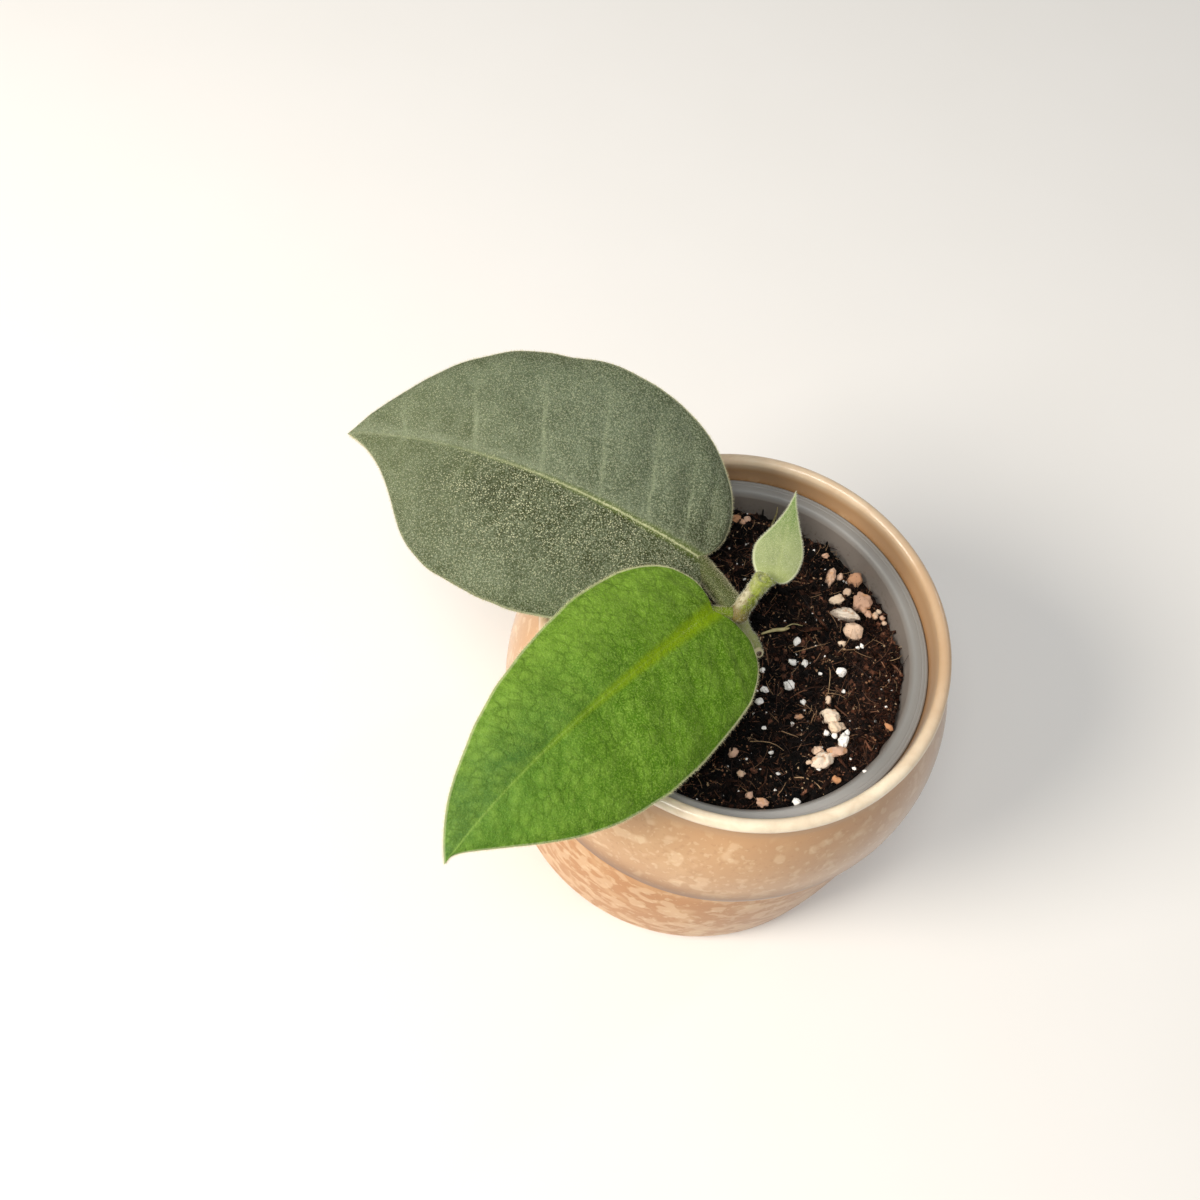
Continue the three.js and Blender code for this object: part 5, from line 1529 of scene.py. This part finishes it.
def makeLeaf(tree, name, leaf, seat, tissues, finishes, slot, node):
    # the blade, its stalk, and the down on both; the tree stands the hairs
    down = leaf["down"]
    blade = addPiece(name + "Blade", bladeMesh(leaf, name + "Blade"))
    petiole = addPiece(name + "Petiole", petioleMesh(leaf, seat, name + "Petiole"))
    dress(blade, slot, tissues[0], node)
    dress(petiole, slot, tissues[1], node)
    inward = [0.0] * len(blade.data.vertices)
    blade.data.attributes["inward"].data.foreach_get("value", inward)
    unders = [0.0] * len(blade.data.vertices)
    blade.data.attributes["under"].data.foreach_get("value", unders)
    growth = [  # name, where, how dense at each point, hairs to the square mm, length, lean, material
        ("Down", blade, [down["underShare"] if u > 0.5 else 1.0 for u in unders],
         down["density"], down["length"], down["lean"], finishes[0]),
        ("Fringe", blade, [clamp(1.6 - d / fringeReach) for d in inward],
         down["fringe"], down["fringeLength"], fringeLean, finishes[1]),
        ("PetioleDown", petiole, [1.0] * len(petiole.data.vertices),
         stalkDown["density"], stalkDown["length"], stalkDown["lean"], finishes[1]),
    ]
    for seed, (label, ground, values, density, length, lean, finish) in enumerate(growth):
        skin = addPiece(name + "Skin", ground.data.copy())
        storeValues(skin.data, "down", values)
        hairs = runTree(skin, tree, {
            "Density": density * 1e6, "Length": length * mm, "Width": down["width"] * mm, "Lean": lean,
            "Seed": 3 + seed, "Finish": finish}, name + label)
        bpy.data.objects.remove(skin)
        dress(hairs, slot, None, node)


def ringMesh(name, centre, axis, radius, tube):
    # a round collar about an axis
    side = axis.orthogonal().normalized()
    lift = axis.cross(side)
    points, faces = [], []
    around, sides = 36, 14
    for i in range(around):
        turn = 2 * math.pi * i / around
        out = side * math.cos(turn) + lift * math.sin(turn)
        for j in range(sides):
            roll = 2 * math.pi * j / sides
            spot = centre + out * (radius + tube * math.cos(roll)) + axis * tube * math.sin(roll)
            points.append(spot * mm)
            a, b = i * sides + j, (i + 1) % around * sides + j
            c, d = i * sides + (j + 1) % sides, (i + 1) % around * sides + (j + 1) % sides
            faces.append((a, b, d, c))
    return meshFrom(name, points, faces)


def makeStem(tree, finish, material):
    # main stem, node, shoot with its collar and bud, and the cut stub, melted into one skin
    p = stem
    end, soil, node, tip = (Vector(p[k]) for k in ("buriedEnd", "soilLine", "node", "shootTip"))
    axis = (tip - node).normalized()
    shoot = [node.lerp(tip, t) for t in (-0.08, 0.3, 0.62, 0.86, 0.97)]
    wide, collar = p["shootRadius"], p["collarRadius"]
    radius, scar = p["radius"], p["scarRadius"]
    cutFrom, cutTo = Vector(p["scarFrom"]), Vector(p["scarTo"])
    bars = [
        barMesh("mainStem", [end, soil, soil.lerp(node, 0.6), node],
                [radius, radius, 0.85 * radius, 1.1 * radius], 60, 24),
        barMesh("shoot", shoot, [1.05 * wide, wide, 0.92 * wide, wide, 0.95 * collar], 50, 28),
        barMesh("scarStub", [cutFrom, cutTo], [0.8 * scar, 0.8 * scar], 12, 20),
        ringMesh("collar", tip - axis * 0.5, axis, 0.74 * collar, 0.26 * collar),
        ringMesh("oldScar", node.lerp(tip, 0.68), axis, 0.86 * wide, 0.14 * wide),
        ringMesh("cutEdge", cutTo, (cutTo - cutFrom).normalized(), 0.62 * scar, 0.25 * scar),
    ]
    knobs = bmesh.new()
    buds = ((tip - axis * 0.35, 0.75), (tip - axis * 0.5 + Vector((0.9, 0.5, 0)), 0.6))
    for place, size in ((node, p["nodeRadius"]), *buds):
        bmesh.ops.create_icosphere(
            knobs, subdivisions=4, radius=size * mm, matrix=Matrix.Translation(place * mm))
    knobMesh = bpy.data.meshes.new("knobs")
    knobs.to_mesh(knobMesh)
    knobs.free()
    piece = joinMeshes("downyStem", [*bars, knobMesh])
    remesh = piece.modifiers.new("melt", "REMESH")
    remesh.mode, remesh.voxel_size, remesh.use_smooth_shade = "VOXEL", p["skinStep"] * mm, True
    soften = piece.modifiers.new("soften", "SMOOTH")
    soften.factor, soften.iterations = 0.5, 5
    graph = bpy.context.evaluated_depsgraph_get()
    melted = bpy.data.meshes.new_from_object(piece.evaluated_get(graph))
    piece.modifiers.clear()
    piece.data = melted
    for v in melted.vertices:
        ridge = noise.noise(Vector((v.co.x * 900, v.co.y * 900, v.co.z * 300))) * 0.14
        ridge += noise.noise(v.co * 2600) * 0.05
        v.co += v.normal * ridge * mm
    melted.update()
    dress(piece, "stem_tissue", material, "stem")
    skin = addPiece("stemSkin", melted.copy())
    down = p["down"]
    lowest = down["above"] * mm
    storeValues(skin.data, "down", [1.0 if v.co.z > lowest else 0.0 for v in skin.data.vertices])
    hairs = runTree(skin, tree, {
        "Density": down["density"] * 1e6, "Length": down["length"] * mm, "Width": down["width"] * mm,
        "Lean": down["lean"], "Seed": down["seed"], "Finish": finish}, "stemDown")
    bpy.data.objects.remove(skin)
    dress(hairs, "stem_tissue", None, "stem")


def stemTissue():
    # young stem: buff down with a painted highlight on the side towards the light, yellow green as
    # painted shade on the side away from it, olive brown at the node, grey green below, partly painted
    # light, with a cut stub whose pith has dried brown
    material, tree = newMaterial("stemTissue")
    place = patternPlace(tree)
    height = addNode(tree, "ShaderNodeSeparateXYZ", {0: place}).outputs["Z"]
    patchy = addNode(tree, "ShaderNodeTexNoise", {"Vector": place, "Scale": 1 / 1.6, "Detail": 4.0})
    longer = addNode(tree, "ShaderNodeMapping", {"Vector": place, "Scale": (1.8, 1.8, 0.45)})
    lines = addNode(tree, "ShaderNodeTexNoise", {
        "Vector": longer, "Detail": 4.0, "Scale": 1.0, "Roughness": 0.6})
    streaks = addNode(tree, "ShaderNodeMapRange", {"Value": lines, "From Min": 0.3, "From Max": 0.68})
    green, buff = [addNode(tree, "ShaderNodeMix", {
        0: streaks, 6: deep, 7: pale}, data_type="RGBA").outputs[2] for deep, pale in stem["tones"]]
    sideways = addNode(tree, "ShaderNodeVectorMath", {
        0: place, 1: (0.8, -0.6, -0.02)}, operation="DOT_PRODUCT")
    ragged = addNode(tree, "ShaderNodeMath", {
        0: streaks, 1: 1.6, 2: sideways.outputs["Value"]}, operation="MULTIPLY_ADD")
    # painted light and shade: buff on the side towards the light, yellow green away from it
    shadedGreenSide = addNode(tree, "ShaderNodeMapRange", {
        "Value": ragged, "From Min": -4.5, "From Max": -3.2}, interpolation_type="SMOOTHSTEP")
    layers = [(shadedGreenSide, green)]
    for low, high, most, deep, pale in stem["bands"]:
        share = addNode(tree, "ShaderNodeMapRange", {
            "Value": height, "From Min": low, "From Max": high, "To Max": most},
            interpolation_type="SMOOTHSTEP")
        own = addNode(tree, "ShaderNodeMix", {0: patchy, 6: deep, 7: pale}, data_type="RGBA").outputs[2]
        layers.append((share, own))
    fromCut = addNode(tree, "ShaderNodeVectorMath", {
        0: place, 1: stem["scarTo"]}, operation="DISTANCE").outputs["Value"]
    for reach, soft, tone in stem["cut"]:
        share = addNode(tree, "ShaderNodeMapRange", {
            "Value": fromCut, "From Min": reach, "From Max": reach - soft}, interpolation_type="SMOOTHSTEP")
        layers.append((share, tone))
    colour = buff
    for share, tone in layers:
        colour = addNode(tree, "ShaderNodeMix", {0: share, 6: colour, 7: tone}, data_type="RGBA").outputs[2]
    finishMaterial(tree, {
        "Base Color": colour, "Roughness": 0.55, "IOR": 1.42, "Subsurface Weight": 0.12,
        "Subsurface Radius": (0.0012, 0.0012, 0.0005)}, streaks, 0.25)
    return material


def makePlant():
    tree = downTree()
    node = Vector(stem["node"])
    collar = node.lerp(Vector(stem["shootTip"]), 0.75)
    pale = plantDown("paleDown", "#b4b797", "#e9e9d6")
    grey = plantDown("greyDown", "#979c7e", "#d0d2b8")
    greenish = plantDown("greenishDown", "#7d9f3c", "#b9cf80")
    cream = plantDown("creamFringe", "#c3bf8c", "#ece6c4")
    greyTissue = leafTissue("greyHoyaLeaf", greyLeaf)
    greenTissue = leafTissue("greenHoyaLeaf", greenLeaf)
    youngTissue = leafTissue("youngHoyaLeaf", youngLeaf)
    greyStalk = petioleTissue("greyPetiole", "#2a3510", "#545d30", "#8f9468")
    greenStalk = petioleTissue("greenPetiole", "#4f6010", "#738a1c", "#9aa558")
    youngStalk = petioleTissue("youngPetiole", "#7f9326", "#a9b54a", "#c9cf8a")
    # name, sizes, where it is seated, materials of blade and stalk, of hairs and fringe, slot, node
    grown = (
        ("greyHoyaLeaf", greyLeaf, seatOn(node, stem["nodeRadius"], greyLeaf),
         (greyTissue, greyStalk), (grey, cream), "grey_leaf_tissue", "grey_leaf"),
        ("greenHoyaLeaf", greenLeaf, seatOn(node, stem["nodeRadius"], greenLeaf),
         (greenTissue, greenStalk), (greenish, cream), "green_leaf_tissue", "green_leaf"),
        ("youngHoyaLeaf", youngLeaf, seatOn(collar, stem["shootRadius"], youngLeaf),
         (youngTissue, youngStalk), (pale, pale), "young_leaf_tissue", "young_leaf"),
    )
    for spec in grown:
        makeLeaf(tree, *spec)
    makeStem(tree, pale, stemTissue())


makePlant()
print("plant grown")
